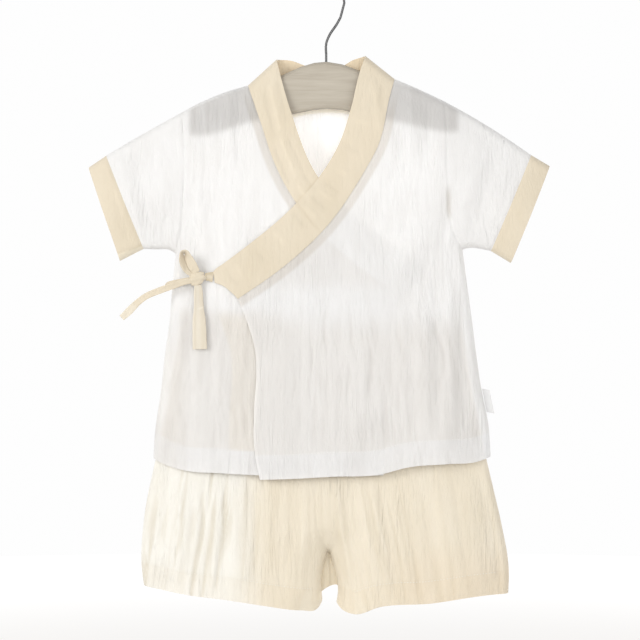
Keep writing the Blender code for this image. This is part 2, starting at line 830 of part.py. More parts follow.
def make_front(name, face, shoulder, armhole, side, seam, free, hem, hand, finish):
    grids = []
    for inset in (0.0, WALL):
        grid = front_grid(shoulder, armhole, side, seam, free, hem, inset, hand)
        grids.append(keep_clear(raise_grid(grid, face, inset), -1.0))
    return add_wall(name, *grids, finish)


right_armhole = smooth_line(RIGHT_ARMHOLE)
left_armhole = smooth_line(LEFT_ARMHOLE)
outer_seam = smooth_line(OUTER_NECK_SEAM)
inner_seam = smooth_line(INNER_NECK_SEAM)
back_seam = smooth_line(BACK_NECK_SEAM)
outer_edge = smooth_line(OUTER_BAND_EDGE)
inner_edge = smooth_line(INNER_BAND_EDGE)
back_edge = smooth_line(BACK_BAND_EDGE)


def neck_columns(line, inset, lean):
    """Points across the back neck, close together at both shoulder folds."""
    length = length_of(line)
    rows = spread(length, NECK_COLUMNS, factor=1.0 / lean)
    inset = inset / lean
    return along(line, inset + rows * (length - 2.0 * inset) / length)


def shoulder_columns(line, inset, inward):
    """Points along a shoulder from the armhole, close together at that end."""
    line = shoulder_line(line[::-1], inset, inward)
    return along(line, spread(length_of(line), SHOULDER_COLUMNS, both=False))


def back_grid(inset):
    left = np.vstack(
        [armhole_rows(right_armhole, inset) + [ARMHOLE_GAP, 0.0], side_rows(right_side, inset, 1.0)]
    )
    right = np.vstack(
        [armhole_rows(left_armhole, inset) - [ARMHOLE_GAP, 0.0], side_rows(left_side, inset, -1.0)]
    )
    neck = offset_line(neck_columns(back_seam, inset, FOLD_LEAN), -HALF_GAP)
    first = shoulder_columns(right_shoulder, inset, -1.0)
    last = shoulder_columns(left_shoulder, inset, 1.0)[::-1]
    first = first + shares(first)[:, None] * (neck[0] - first[-1])
    last = last + (1.0 - shares(last))[:, None] * (neck[-1] - last[0])
    top = joined(first, neck, last)
    hem = smooth_line(BACK_HEM)
    low = along(hem, shares(top) * length_of(hem))
    return patch(top, low, left, right)


def make_back(finish):
    grids = [keep_clear(raise_grid(back_grid(inset), back, inset), 1.0) for inset in (0.0, WALL)]
    return add_wall("top_back", *grids, finish)


def tube_grid(start, end, over, under, stations, inset, gaps):
    """Plane grid of a flat tube from one cross edge to another; its columns run down each cross edge."""
    first = armhole_rows(start, inset)
    last = armhole_rows(end, inset)
    over_points = along(over, np.linspace(0.0, length_of(over), stations + 1))
    under_points = along(under, np.linspace(0.0, length_of(under), stations + 1))
    grid = patch(first, last, over_points, under_points)
    along_first = over_points[1] - over_points[0]
    along_last = over_points[-1] - over_points[-2]
    grid[0] = first + gaps[0] * along_first / np.linalg.norm(along_first)
    grid[-1] = last - gaps[1] * along_last / np.linalg.norm(along_last)
    return grid


def make_tube(name, start, end, over, under, stations, front_face, gaps, finish, drop=0.0):
    """Sleeve or cuff: one wall all round; drop lowers the open end's back layer."""
    grids = []
    for inset in (0.0, WALL):
        hand = 1.0 if over[-1, 0] < over[0, 0] else -1.0
        inner_over = offset_line(over, hand * inset)
        inner_under = offset_line(under, -hand * inset)
        grid = tube_grid(start, end, inner_over, inner_under, stations, inset, gaps)
        front_half = raise_grid(grid, front_face, inset)
        back_half = raise_grid(grid, back, inset)
        front_half[:, [0, -1], 1] = 0.0
        outward = np.linspace(0.0, 1.0, stations + 1)[:, None]
        down = np.linspace(0.0, 1.0, grid.shape[1])[None, :] ** 2
        for half in (front_half, back_half):
            behind = 0.5 + 0.5 * half[..., 1] / CUFF_HALF_DEPTH
            half[..., 2] -= drop * outward * down * behind
        grids.append(np.concatenate([front_half, back_half[:, -2:0:-1]], axis=1))
    return add_wall(name, *grids, finish, ring=True)


BAND_ACROSS = 4
FOLD_GAP = 0.35


def fold_heading(fold):
    step = np.array(fold[1]) - np.array(fold[0])
    return step / np.linalg.norm(step)


def band_grid(inset):
    """Points of the neckband, a row for each section from its hidden end to its tie."""
    end = np.array(BAND_END)
    seams = [
        seam_rows(inner_seam, inset)[::-1],
        neck_columns(back_seam, inset, FOLD_LEAN)[1:-1],
        seam_rows(outer_seam, inset),
    ]
    edges = [
        seam_rows(inner_edge, inset)[::-1],
        neck_columns(back_edge, inset, BACK_EDGE_LEAN)[1:-1],
        seam_rows(outer_edge, inset),
    ]
    seams[0] = offset_line(seams[0], -HALF_GAP)
    seams[1] = offset_line(np.vstack([seams[0][-1:], seams[1]]), HALF_GAP)[1:]
    seams[2] = offset_line(seams[2], -HALF_GAP)
    seams[0][-1] += FOLD_GAP * fold_heading(RIGHT_BAND_FOLD)
    seams[2][0] += FOLD_GAP * fold_heading(LEFT_BAND_FOLD)
    faces = [front_inner, back, front_outer]
    rows = []
    for seam, edge, face in zip(seams, edges, faces):
        share = np.linspace(0.0, 1.0, BAND_ACROSS + 1)[None, :, None]
        grid = seam[:, None] * (1.0 - share) + edge[:, None] * share
        rows.append(raise_grid(grid, face, inset))
    rows[0][-1, :, 1] = 0.0
    rows[2][0, :, 1] = 0.0
    share = np.linspace(0.0, 1.0, BAND_ACROSS + 1)[None, :, None]
    tip = end[:, None, :2] * (1.0 - share) + end[:, None, 2:] * share
    rows.append(raise_grid(tip, front_outer, inset))
    return np.concatenate(rows)


OUTSEAM_ROWS = 13
CENTRE_ROWS = 10
LEG_COLUMNS = 10
LEG_WIDTH = 176.0
WAIST_SAG = 1.0
WAIST_COLUMNS = 14


def make_shorts_panel(name, face, out, inside, leg_hem, hand, side, finish):
    """One leg's front or back, from the waistband to its hem."""
    centre = smooth_line(CENTRE_SEAM)
    grids = []
    for inset in (0.0, WALL):
        drop = WAISTBAND_HEIGHT + 2.0 * HALF_GAP
        left = along(out, np.linspace(drop, length_of(out), OUTSEAM_ROWS))
        left = offset_line(left, hand * inset)
        upper = along(centre, np.linspace(0.0, length_of(centre), CENTRE_ROWS))
        upper = offset_line(upper, -hand * HALF_GAP)
        lower = along(inside, np.linspace(0.0, length_of(inside), OUTSEAM_ROWS - CENTRE_ROWS + 1)[1:])
        lower = offset_line(lower, -hand * inset)
        right = np.vstack([upper, lower])
        waist = smooth_line([left[0], 0.5 * (left[0] + right[0]) - [0.0, WAIST_SAG], right[0]])
        columns = spread(LEG_WIDTH, LEG_COLUMNS, radius=SHORTS_EDGE_RADIUS) / LEG_WIDTH
        top = along(waist, columns * length_of(waist))
        hem = smooth_line(leg_hem)
        low = along(hem, columns * length_of(hem))
        grid = raise_grid(patch(top, low, left, right), face, inset)
        middle = shorts_middle(grid[..., [0, 2]].reshape(-1, 2)).reshape(grid.shape[:2])
        depth = side * (grid[..., 1] - middle)
        grid[..., 1] = middle + side * np.maximum(depth, HALF_GAP)
        grids.append(grid)
    return add_wall(name, *grids, finish)


def make_waistband(finish):
    """Elastic casing: a flat ring round the shorts' top."""
    grids = []
    for inset in (0.0, WALL):
        rows = []
        for drop in (0.0, 0.5 * WAISTBAND_HEIGHT, WAISTBAND_HEIGHT):
            ends = [along(RIGHT_OUT, [drop])[0] + [inset, 0.0], along(LEFT_OUT, [drop])[0] - [inset, 0.0]]
            sag = 0.5 * (ends[0] + ends[1]) - [0.0, WAIST_SAG]
            line = smooth_line([ends[0], sag, ends[1]])
            rows.append(along(line, spread(length_of(line), WAIST_COLUMNS, radius=SHORTS_EDGE_RADIUS)))
        plane = np.stack(rows)
        flat = plane.reshape(-1, 2)
        depth = shorts_depth(flat, (), inset, waistband=True).reshape(plane.shape[:2])
        depth[:, [0, -1]] = 0.0
        front = np.stack([plane[..., 0], -depth, plane[..., 1]], axis=2)
        behind = np.stack([plane[..., 0], depth, plane[..., 1]], axis=2)
        grids.append(np.concatenate([front, behind[:, -2:0:-1]], axis=1))
    return add_wall("shorts_waistband", *grids, finish, ring=True)


STRIP_STEPS = 2
Corner = namedtuple("Corner", "across up")
STRIP_CORNERS = (
    Corner(-0.5, -0.3),
    Corner(-0.5, 0.3),
    Corner(-0.42, 0.5),
    Corner(0.42, 0.5),
    Corner(0.5, 0.3),
    Corner(0.5, -0.3),
    Corner(0.42, -0.5),
    Corner(-0.42, -0.5),
)


def smooth_line3(points):
    """Curve through points in space, with a few sections between each two of them."""
    return smooth_line(points)[:: CURVE_STEPS // STRIP_STEPS]


def add_strip(name, sections, finish):
    """Narrow flat strip through its sections, with a closed end at both of them."""
    table = np.array(sections)
    centres = smooth_line3(table[:, :3])
    run = run_of(table[:, :3])
    dense = run_of(centres)
    width = np.interp(dense / dense[-1], run / run[-1], table[:, 3])
    turn = np.radians(np.interp(dense / dense[-1], run / run[-1], table[:, 4]))
    heading = np.gradient(centres, axis=0)
    heading /= np.linalg.norm(heading, axis=1)[:, None]
    across = np.cross(heading, [0.0, -1.0, 0.0])
    across /= np.linalg.norm(across, axis=1)[:, None]
    face = np.cross(across, heading)
    side = across * np.cos(turn)[:, None] + face * np.sin(turn)[:, None]
    normal = np.cross(side, heading)
    rings = []
    for corner in STRIP_CORNERS:
        rings.append(centres + corner.across * width[:, None] * side + corner.up * TIE_WALL * normal)
    rings = np.stack(rings, axis=1)
    count, sides = rings.shape[:2]
    faces = quads(count, sides, 0, False, ring_columns=True)
    faces.append(tuple(range(sides))[::-1])
    faces.append(tuple((count - 1) * sides + i for i in range(sides)))
    return add_object(name, rings.reshape(-1, 3), faces, finish)


KNOT_RINGS = 9
KNOT_SIDES = 14


def make_knot(finish):
    """Flattened knot with soft grooves between its turns."""
    points = []
    for r in range(1, KNOT_RINGS):
        tilt = np.pi * r / KNOT_RINGS
        for s in range(KNOT_SIDES):
            turn = 2.0 * np.pi * s / KNOT_SIDES
            ripple = 1.0 + KNOT_GROOVE * np.cos(3.0 * tilt) * np.cos(turn)
            spot = np.array([np.sin(tilt) * np.cos(turn), np.sin(tilt) * np.sin(turn), np.cos(tilt)])
            points.append(np.array(KNOT_CENTRE) + ripple * spot * KNOT_HALF_SIZES)
    count = len(points)
    points.append(np.array(KNOT_CENTRE) + [0.0, 0.0, KNOT_HALF_SIZES[2]])
    points.append(np.array(KNOT_CENTRE) - [0.0, 0.0, KNOT_HALF_SIZES[2]])
    faces = quads(KNOT_RINGS - 1, KNOT_SIDES, 0, False, ring_columns=True)
    low = (KNOT_RINGS - 2) * KNOT_SIDES
    for s in range(KNOT_SIDES):
        beside = (s + 1) % KNOT_SIDES
        faces.append((count, beside, s))
        faces.append((count + 1, low + s, low + beside))
    return add_object("tie_knot", points, faces, finish)


LabelStation = namedtuple("LabelStation", "reach wall")
LABEL_STATIONS = (
    LabelStation(0.0, 1.0),
    LabelStation(0.5, 1.0),
    LabelStation(0.94, 1.0),
    LabelStation(1.0, 0.6),
)


def make_label(finish):
    """Bare tab, a thin folded rectangle that follows the side seam."""
    top, low = np.array(LABEL_TOP), np.array(LABEL_LOW)
    rows = []
    for reach, wall in LABEL_STATIONS:
        for height in (0.5 * wall * LABEL_WALL, -0.5 * wall * LABEL_WALL):
            for share in (0.0, 0.5, 1.0):
                spot = top * (1.0 - share) + low * share
                rows.append((spot[0] + reach * LABEL_REACH, height, spot[1] - reach * LABEL_DROP))
    points = np.array(rows).reshape(len(LABEL_STATIONS), 2, 3, 3)
    return add_wall("side_label", points[:, 0], points[:, 1], finish)


def make_hanger(finish):
    """Wooden arms: rounded sections from one tip to the other, with a socket for the hook."""
    table = np.array(HANGER)
    x = table[:, 0]
    sections = []
    for centre, top, low in table:
        tip = min(centre - x[0], x[-1] - centre)
        half = HANGER_HALF_THICKNESS - HANGER_TIP_ROUND + rounding(tip + HANGER_TIP_FLAT, HANGER_TIP_ROUND)
        slope = np.interp(centre, x, np.gradient(table[:, 1], x))
        widest = HANGER_ROUND_SHARE * (top - low)
        top_round = min(half * np.hypot(1.0, slope), widest)
        low_round = min(HANGER_LOW_ROUND, widest)
        ring = []
        for angle in np.radians(HANGER_TOP_ANGLES):
            ring.append((centre, half * np.sin(angle), top - top_round * (1.0 - np.cos(angle))))
        for angle in np.radians(HANGER_LOW_ANGLES):
            side = half - low_round * (1.0 - np.cos(angle))
            ring.append((centre, side, low + low_round * (1.0 - np.sin(angle))))
        for angle in np.radians(HANGER_LOW_ANGLES[::-1]):
            side = half - low_round * (1.0 - np.cos(angle))
            ring.append((centre, -side, low + low_round * (1.0 - np.sin(angle))))
        sections.append(ring)
    rings = np.array(sections)
    count, sides = rings.shape[:2]
    faces = quads(count, sides, 0, False, ring_columns=True)
    faces.append(tuple(range(sides))[::-1])
    faces.append(tuple((count - 1) * sides + i for i in range(sides)))
    wood = add_object("hanger", rings.reshape(-1, 3), faces, finish)
    bpy.context.view_layer.update()
    crown = max(row.top for row in HANGER)
    bpy.ops.mesh.primitive_cylinder_add(
        vertices=SOCKET_SIDES,
        radius=(WIRE_RADIUS + SOCKET_CLEARANCE) * MM,
        depth=2.0 * SOCKET_DEPTH * MM,
        location=(HOOK_STEM[0].x * MM, 0.0, crown * MM),
    )
    cutter = bpy.context.object
    cutter.name = "socket_cutter"
    cutter.hide_render = True
    cutter.display_type = "WIRE"
    cut = wood.modifiers.new("socket", "BOOLEAN")
    cut.operation = "DIFFERENCE"
    cut.object = cutter
    return wood


def make_hook(finish):
    """Wire hook with a ball at its tip."""
    stem = smooth_line(HOOK_STEM)[::STEM_STEP]
    radius = HOOK_INNER_RADIUS + WIRE_RADIUS
    angles = np.radians(np.arange(0.0, HOOK_ARC_END + 1.0, HOOK_ARC_STEP))
    arc = np.stack([radius * np.cos(angles), -HOOK_INNER_RADIUS + radius * np.sin(angles)], axis=1)
    line = np.vstack([stem[:-1], smooth_line([stem[-1], arc[0]])[::BEND_STEP][:-1], arc])
    heading = np.gradient(line, axis=0)
    heading /= np.linalg.norm(heading, axis=1)[:, None]
    normal = np.stack([-heading[:, 1], heading[:, 0]], axis=1)
    wire = np.full(len(line), WIRE_RADIUS)
    ball = np.array(HOOK_BALL)
    line = np.vstack([line, line[-1] + np.outer(ball[:, 0], heading[-1])])
    normal = np.vstack([normal, np.repeat(normal[-1:], len(ball), axis=0)])
    wire = np.concatenate([wire, ball[:, 1]])
    rings = []
    for turn in np.arange(WIRE_SIDES) * 2.0 * np.pi / WIRE_SIDES:
        spot = line + wire[:, None] * np.cos(turn) * normal
        rings.append(np.stack([spot[:, 0], wire * np.sin(turn), spot[:, 1]], axis=1))
    rings = np.stack(rings, axis=1)
    count, sides = rings.shape[:2]
    faces = quads(count, sides, 0, False, ring_columns=True)
    faces.append(tuple(range(sides))[::-1])
    faces.append(tuple((count - 1) * sides + i for i in range(sides)))
    return add_object("hanger_hook", rings.reshape(-1, 3), faces, finish)


def build():
    for old in list(bpy.data.objects):
        bpy.data.objects.remove(old, do_unlink=True)
    white = material("white gauze", (0.88, 0.87, 0.85), 0.9)
    cream = material("cream gauze", (0.83, 0.74, 0.58), 0.9)
    pale = material("pale cream gauze", (0.88, 0.80, 0.66), 0.9)
    tape = material("label tape", (0.87, 0.87, 0.86), 0.7)
    wood = material("pale wood", (0.58, 0.52, 0.43), 0.55)
    steel = material("steel wire", (0.32, 0.32, 0.32), 0.3, 1.0)

    make_hanger(wood)
    make_hook(steel)
    make_back(white)
    make_front(
        "top_front_right", front_inner, right_shoulder, right_armhole, right_side, inner_seam,
        smooth_line(INNER_FREE_EDGE), smooth_line(INNER_HEM), 1.0, white,
    )
    make_front(
        "top_front_left", front_outer, left_shoulder, left_armhole, left_side, outer_seam,
        smooth_line(OUTER_FREE_EDGE), smooth_line(OUTER_HEM)[::-1], -1.0, white,
    )
    right_cuff_seam = smooth_line((RIGHT_CUFF_TOP[0], RIGHT_CUFF_UNDER[0]))
    left_cuff_seam = smooth_line((LEFT_CUFF_TOP[0], LEFT_CUFF_UNDER[0]))
    right_cuff_edge = smooth_line((RIGHT_CUFF_TOP[1], RIGHT_CUFF_UNDER[1]))
    left_cuff_edge = smooth_line((LEFT_CUFF_TOP[1], LEFT_CUFF_UNDER[1]))
    both, first = (HALF_GAP, HALF_GAP), (HALF_GAP, 0.0)
    make_tube(
        "sleeve_right", right_armhole, right_cuff_seam, right_sleeve_top, right_sleeve_under,
        SLEEVE_STATIONS, front_inner, both, white,
    )
    make_tube(
        "sleeve_left", left_armhole, left_cuff_seam, left_sleeve_top, left_sleeve_under,
        SLEEVE_STATIONS, front_outer, both, white,
    )
    make_tube(
        "cuff_right", right_cuff_seam, right_cuff_edge, right_cuff_top, right_cuff_under,
        CUFF_STATIONS, front_inner, first, cream, drop=RIGHT_CUFF_DROP,
    )
    make_tube(
        "cuff_left", left_cuff_seam, left_cuff_edge, left_cuff_top, left_cuff_under,
        CUFF_STATIONS, front_outer, first, cream,
    )
    add_wall("neckband", band_grid(0.0), band_grid(WALL), cream)

    right_leg = (RIGHT_OUT, RIGHT_IN, RIGHT_LEG_HEM)
    left_leg = (LEFT_OUT, LEFT_IN, LEFT_LEG_HEM)
    make_shorts_panel("shorts_front_right", shorts_front, *right_leg, 1.0, -1.0, pale)
    make_shorts_panel("shorts_back_right", shorts_back, *right_leg, 1.0, 1.0, pale)
    make_shorts_panel("shorts_front_left", shorts_front, *left_leg, -1.0, -1.0, pale)
    make_shorts_panel("shorts_back_left", shorts_back, *left_leg, -1.0, 1.0, pale)
    make_waistband(pale)

    add_strip("tie_front", TIE_FRONT, cream)
    add_strip("tie_side", TIE_SIDE, cream)
    add_strip("tie_loop", TIE_LOOP, cream)
    add_strip("tie_tail_side", TIE_TAIL_SIDE, cream)
    add_strip("tie_tail_down", TIE_TAIL_DOWN, cream)
    make_knot(cream)
    make_label(tape)


build()
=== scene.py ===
"""Looks of a kimono pajama set on its hanger.

Each cloth piece is a thin shell on the form of its CAD solid, with its creases, crinkle, seams,
hems and stitches. Tables are in millimetres, in the CAD model's frame, and meshes are in metres.
"""

import bpy
import numpy as np
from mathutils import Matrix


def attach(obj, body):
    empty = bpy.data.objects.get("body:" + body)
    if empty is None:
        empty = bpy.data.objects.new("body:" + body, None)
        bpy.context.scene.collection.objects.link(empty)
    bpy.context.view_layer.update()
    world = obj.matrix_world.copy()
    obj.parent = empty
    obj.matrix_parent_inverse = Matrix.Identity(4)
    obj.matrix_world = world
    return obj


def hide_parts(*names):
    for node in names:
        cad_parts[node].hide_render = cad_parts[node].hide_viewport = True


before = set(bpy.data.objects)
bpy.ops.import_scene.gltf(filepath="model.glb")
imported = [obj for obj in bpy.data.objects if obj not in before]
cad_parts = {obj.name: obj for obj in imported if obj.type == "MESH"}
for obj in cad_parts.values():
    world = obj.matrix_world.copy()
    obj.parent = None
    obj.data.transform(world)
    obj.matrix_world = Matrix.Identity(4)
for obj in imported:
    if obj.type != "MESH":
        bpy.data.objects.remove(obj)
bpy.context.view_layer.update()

MM = 0.001
FRONT_SIDE = (0.0, -1.0, 0.0)
BACK_SIDE = (0.0, 1.0, 0.0)
CLOTH = 0.9
OVERLAP_LIFT = 2.1
LIFT_RUN = 26.0
TOP_EDGE_RADIUS = 8.0
TOP_SWELL_RUN = 60.0
SHORTS_EDGE_RADIUS = 7.0
SHORTS_SWELL_RUN = 55.0
SEAT_SWELL_RUN = 33.0
WAISTBAND_HEIGHT = 22.0
COVER_GAP = 1.85
COVER_MARGIN = 22.0
SEAT_DROP = 8.0
SEAT_DROP_RUN = 6.0
FOLD_END_RUN = 22.0
FOLD_SIDE_RUN = 14.0
CURVE_STEPS = 14
RIGHT_CUFF_DROP = 5.0
CUFF_HALF_DEPTH = 12.0
CUFF_PUFF = 0.7

# Half depth added in the middle, as z and depth
TOP_SWELL = ((-620, 15), (-480, 14), (-380, 11.5), (-260, 8.5), (-130, 5.5), (-60, 4))
SHORTS_SWELL = ((-640, 13), (-560, 11), (-480, 7.5), (-400, 8.5), (-350, 11), (-310, 14))


def smooth_line(points):
    """Dense polyline through the points, on a cubic curve with chord-length spacing."""
    points = np.array(points, float)
    if len(points) < 3:
        share = np.linspace(0.0, 1.0, CURVE_STEPS + 1)[:, None]
        return points[0] * (1.0 - share) + points[-1] * share
    chords = np.linalg.norm(np.diff(points, axis=0), axis=1)
    slopes = np.diff(points, axis=0) / chords[:, None]
    before, after = chords[:-1, None], chords[1:, None]
    inner = (slopes[:-1] * after + slopes[1:] * before) / (before + after)
    tangents = np.vstack([1.5 * slopes[0] - 0.5 * inner[0], inner, 1.5 * slopes[-1] - 0.5 * inner[-1]])
    rows = []
    share = np.linspace(0.0, 1.0, CURVE_STEPS, endpoint=False)[:, None]
    for i, chord in enumerate(chords):
        rows.append(
            points[i] * (2.0 * share**3 - 3.0 * share**2 + 1.0)
            + points[i + 1] * (3.0 * share**2 - 2.0 * share**3)
            + tangents[i] * chord * (share**3 - 2.0 * share**2 + share)
            + tangents[i + 1] * chord * (share**3 - share**2)
        )
    return np.vstack(rows + [points[-1:]])


# Outlines seen from the front, as x and z, smoothed through their points
right_fold = smooth_line(((-78, -99.5), (-49.5, -73.5)))
left_fold = smooth_line(((68.5, -93), (39.5, -70)))
right_shoulder = smooth_line(((-78, -99.5), (-100, -106), (-131.2, -119.4), (-144, -126.5)))
left_shoulder = smooth_line(((68.5, -93), (92, -103), (118.3, -115.4)))
right_sleeve_top = smooth_line(((-144, -126.5), (-182, -147.5), (-219.7, -169.6)))
left_sleeve_top = smooth_line(((118.3, -115.4), (143, -129), (169.7, -145.2), (205, -169)))
right_sleeve_under = smooth_line(((-150.3, -267.7), (-157, -263.8), (-170, -263.4), (-182.2, -262.9)))
left_sleeve_under = smooth_line(((136.5, -263.8), (143, -261.8), (153, -262.6), (164.7, -265)))
right_cuff_top = smooth_line(((-219.7, -169.6), (-237.2, -181.5)))
left_cuff_top = smooth_line(((205, -169), (223.6, -180)))
right_cuff_under = smooth_line(((-182.2, -262.9), (-206.1, -272.4)))
left_cuff_under = smooth_line(((164.7, -265), (184.6, -277)))
right_armhole = smooth_line((
    (-144, -126.5), (-141.5, -165), (-142.5, -215), (-145.5, -250),
    (-150.3, -267.7),
))
left_armhole = smooth_line(((118.3, -115.4), (120, -147), (121, -200), (126, -244), (136.5, -263.8)))
right_side = smooth_line((
    (-150.3, -267.7), (-154, -304), (-156.4, -335), (-160.8, -366), (-164.5, -401), (-171.3, -450),
    (-172.5, -472),
))
left_side = smooth_line((
    (136.5, -263.8), (141.2, -299), (145.2, -328), (150, -366), (155, -401), (162.6, -440), (164.7, -470.3),
))
outer_seam = smooth_line((
    (68.5, -93), (63.6, -110.4), (51.9, -160), (37, -188), (-1.1, -243), (-36.6, -276.5), (-87.6, -313),
))
inner_seam = smooth_line((
    (-78, -99.5), (-64, -140.3), (-51.2, -177.8), (-29.8, -217.3), (-6, -246), (28, -277), (79, -313),
))
outer_free = smooth_line((
    (-87.6, -313), (-78.7, -335), (-70.6, -363), (-69.1, -387), (-71.3, -422), (-71.3, -460),
    (-65.5, -492.3),
))
inner_free = smooth_line(((79, -313), (66, -348), (60, -400), (60, -450), (57, -488)))
outer_edge = smooth_line((
    (39.5, -70), (34.5, -84), (23.8, -127), (13.8, -157), (-7.8, -193), (-41.8, -230), (-75.3, -258),
    (-104, -279.5),
))
inner_edge = smooth_line((
    (-49.5, -73.5), (-45.8, -88.8), (-34.4, -128.3), (-7.7, -192), (27, -229), (64, -258), (99.5, -281),
))
back_seam = smooth_line((
    (-78, -99.5), (-56, -110), (-28, -116.5), (-4, -118), (20, -115.5), (47, -106.5), (68.5, -93),
))
back_edge = smooth_line((
    (-49.5, -73.5), (-36, -73.8), (-20, -79), (-3, -82.5), (14, -80.5), (28, -73), (39.5, -70),
))
BAND_END = (
    (-94, -306.6, -107.6, -281.8), (-101.5, -300.6, -110.2, -283.8), (-112, -296.5, -112.4, -286.5),
)
outer_hem = smooth_line((
    (-65.5, -492.3), (-35, -491.5), (4, -489.3), (53, -487.1), (82.5, -479.8), (120.7, -476.9),
    (150, -475.2), (164.7, -470.3),
))
inner_hem = smooth_line((
    (-172.5, -472), (-158, -479), (-140.3, -483.5), (-108, -485.7), (-68.4, -487.9),
    (57, -488),
))
back_hem = smooth_line((
    (-172.5, -472), (-150, -479), (-80, -483), (70, -482), (140, -476.5),
    (164.7, -470.3),
))
right_out = smooth_line((
    (-146, -320), (-147, -343), (-152.5, -385), (-160, -430), (-168.6, -466), (-173.2, -486),
    (-177.6, -506), (-183.2, -544), (-184.6, -578), (-182, -599),
))
left_out = smooth_line((
    (136, -327), (137.5, -349), (143.5, -390), (152, -435), (160.2, -472), (167.5, -503), (175.5, -538),
    (182.9, -584.6), (182.2, -606.7),
))
centre_seam = smooth_line(((-6, -348.5), (-8, -420), (-10, -492), (-7, -545), (1.8, -567)))
right_in = smooth_line((
    (1.8, -566), (-1.8, -576), (-3.8, -585), (-4.8, -596), (-4.2, -608), (-3.8, -615),
    (-6.2, -620.6),
))
left_in = smooth_line(((3.2, -566), (6.3, -576), (8.8, -585), (11.3, -596), (11.8, -608), (10.4, -616.6)))
right_back_in = smooth_line(((2.4, -566), (3.2, -574), (4.0, -584), (4.2, -593), (4.2, -600.6)))
left_back_in = smooth_line(((2.6, -566), (1.8, -574), (0.8, -584), (0.6, -593), (0.6, -601.6)))
right_leg = smooth_line((
    (-182, -599), (-142, -606.5), (-95, -612.6), (-65.4, -617.2), (-24, -622.8), (-11, -623.6),
    (-6.2, -620.6),
))
right_back_leg = smooth_line((
    (-182, -599), (-142, -606.5), (-95, -613.4), (-65.4, -618.8), (-24, -622.6), (-9, -617), (-4, -606),
    (4.2, -600.6),
))
left_leg = smooth_line((
    (182.2, -606.7), (144.7, -609.6), (104.5, -615.4), (53.6, -618.8), (26, -626.2), (17, -623.2),
    (10.4, -616.6),
))
left_back_leg = smooth_line((
    (182.2, -606.7), (144.7, -611.4), (104.5, -616.8), (53.6, -620.8), (30, -625), (17, -615), (11, -599.5),
    (0.6, -601.6),
))
OUTER_FOLDS = (
    (104, -114, 96, -192, 9, -1.4), (127, -196, 120, -258, 8, -2.6), (112, -236, 60, -300, 13, 2),
    (128, -290, 118, -470, 10, 1.8), (96, -320, 92, -480, 9, 1.6), (30, -360, 26, -486, 11, 1.4),
    (-40, -340, -44, -488, 10, 1.5), (176, -160, 146, -252, 10, -1.5),
)
INNER_FOLDS = (
    (-91, -104, -88, -186, 8, -1.8), (-108, -112, -106, -176, 8, -1.3), (-139, -236, -122, -276, 9, -1.8),
    (-128, -318, -136, -476, 9, 1.6), (-104, -330, -110, -478, 8, -1.3), (-190, -158, -168, -256, 10, -1.5),
)
BACK_FOLDS = (
    (-96, -112, -90, -230, 10, -1.8), (86, -108, 80, -236, 10, -1.8), (-20, -150, -26, -300, 12, -1.2),
    (-120, -290, -130, -476, 11, 2), (-60, -330, -66, -480, 12, -1.6), (16, -310, 18, -480, 12, 1.8),
    (112, -300, 122, -474, 11, 2), (126, -196, 120, -256, 9, -2), (-139, -210, -128, -262, 9, -1.8),
)
SHORTS_FRONT_FOLDS = (
    (-148, -488, -152, -598, 8, 1.8), (-120, -482, -124, -606, 8, -1.8), (-92, -486, -88, -606, 9, 1.6),
    (-36, -500, -40, -616, 9, -1.4), (22, -486, 40, -618, 8, -1.8), (44, -484, 62, -616, 8, 1.8),
    (96, -490, 112, -612, 10, -1.5), (140, -484, 158, -604, 9, 1.8),
)
SHORTS_BACK_FOLDS = (
    (-130, -486, -138, -602, 10, 1.8), (-84, -484, -90, -610, 10, -1.8), (-34, -490, -36, -614, 9, 1.4),
    (36, -488, 46, -616, 9, -1.6), (84, -484, 96, -612, 10, 1.8), (134, -486, 148, -604, 10, -1.6),
)
TIE_FRONT = (
    (-112.3, -16.6, -291.4, 10.5, 0), (-116.8, -17.2, -291, 8.5, 10), (-119.8, -17.8, -291.4, 7.5, 15),
)
TIE_SIDE = (
    (-157.3, -1.6, -300, 7, 0), (-156.2, -8.2, -299, 7, 0), (-148.6, -11.2, -297, 6.5, 0),
    (-139.6, -12.6, -295, 6, 0), (-131.8, -14.4, -293.6, 5, 0),
)
TIE_LOOP = (
    (-128.8, -19.6, -286.4, 8, 16), (-132.4, -21.6, -280, 10.4, 22), (-136.2, -22.6, -272.8, 10.6, 38),
    (-139.4, -22.8, -266.6, 9.4, 64), (-142.4, -22.4, -266.6, 9, 74), (-143.2, -21.6, -272.5, 8.4, 56),
    (-141.2, -20.6, -279.6, 7.6, 40), (-137.6, -19.6, -285.6, 6, 25), (-133.6, -18.8, -288.4, 4.4, 10),
)
TIE_TAIL_SIDE = (
    (-131.1, -19.2, -294.8, 5, 0), (-141, -20.2, -296.2, 6.4, 10), (-152, -19.4, -300, 6.9, 18),
    (-166, -17.8, -305, 6.6, 10), (-179, -16.8, -310.6, 6.3, 0), (-187.4, -16, -316.8, 6.6, 2),
    (-195.4, -15.4, -324.8, 7.8, 4), (-203.2, -15, -332, 6.2, 2),
)
TIE_TAIL_DOWN = (
    (-127.2, -18.6, -299.2, 7, 0), (-126.8, -18.6, -306, 9, 10), (-126.4, -18.6, -316, 9.5, 12),
    (-126.2, -18.6, -325, 10.5, 6), (-126, -18.8, -333, 13, 0), (-125.6, -19.2, -348, 14, 0),
    (-125.2, -19.6, -363, 14.5, 0),
)
KNOT_CENTRE = (-128.2, -18.2, -292.6)
KNOT_HALF_SIZES = (9.4, 3.4, 6.6)
KNOT_TILT = 20.0
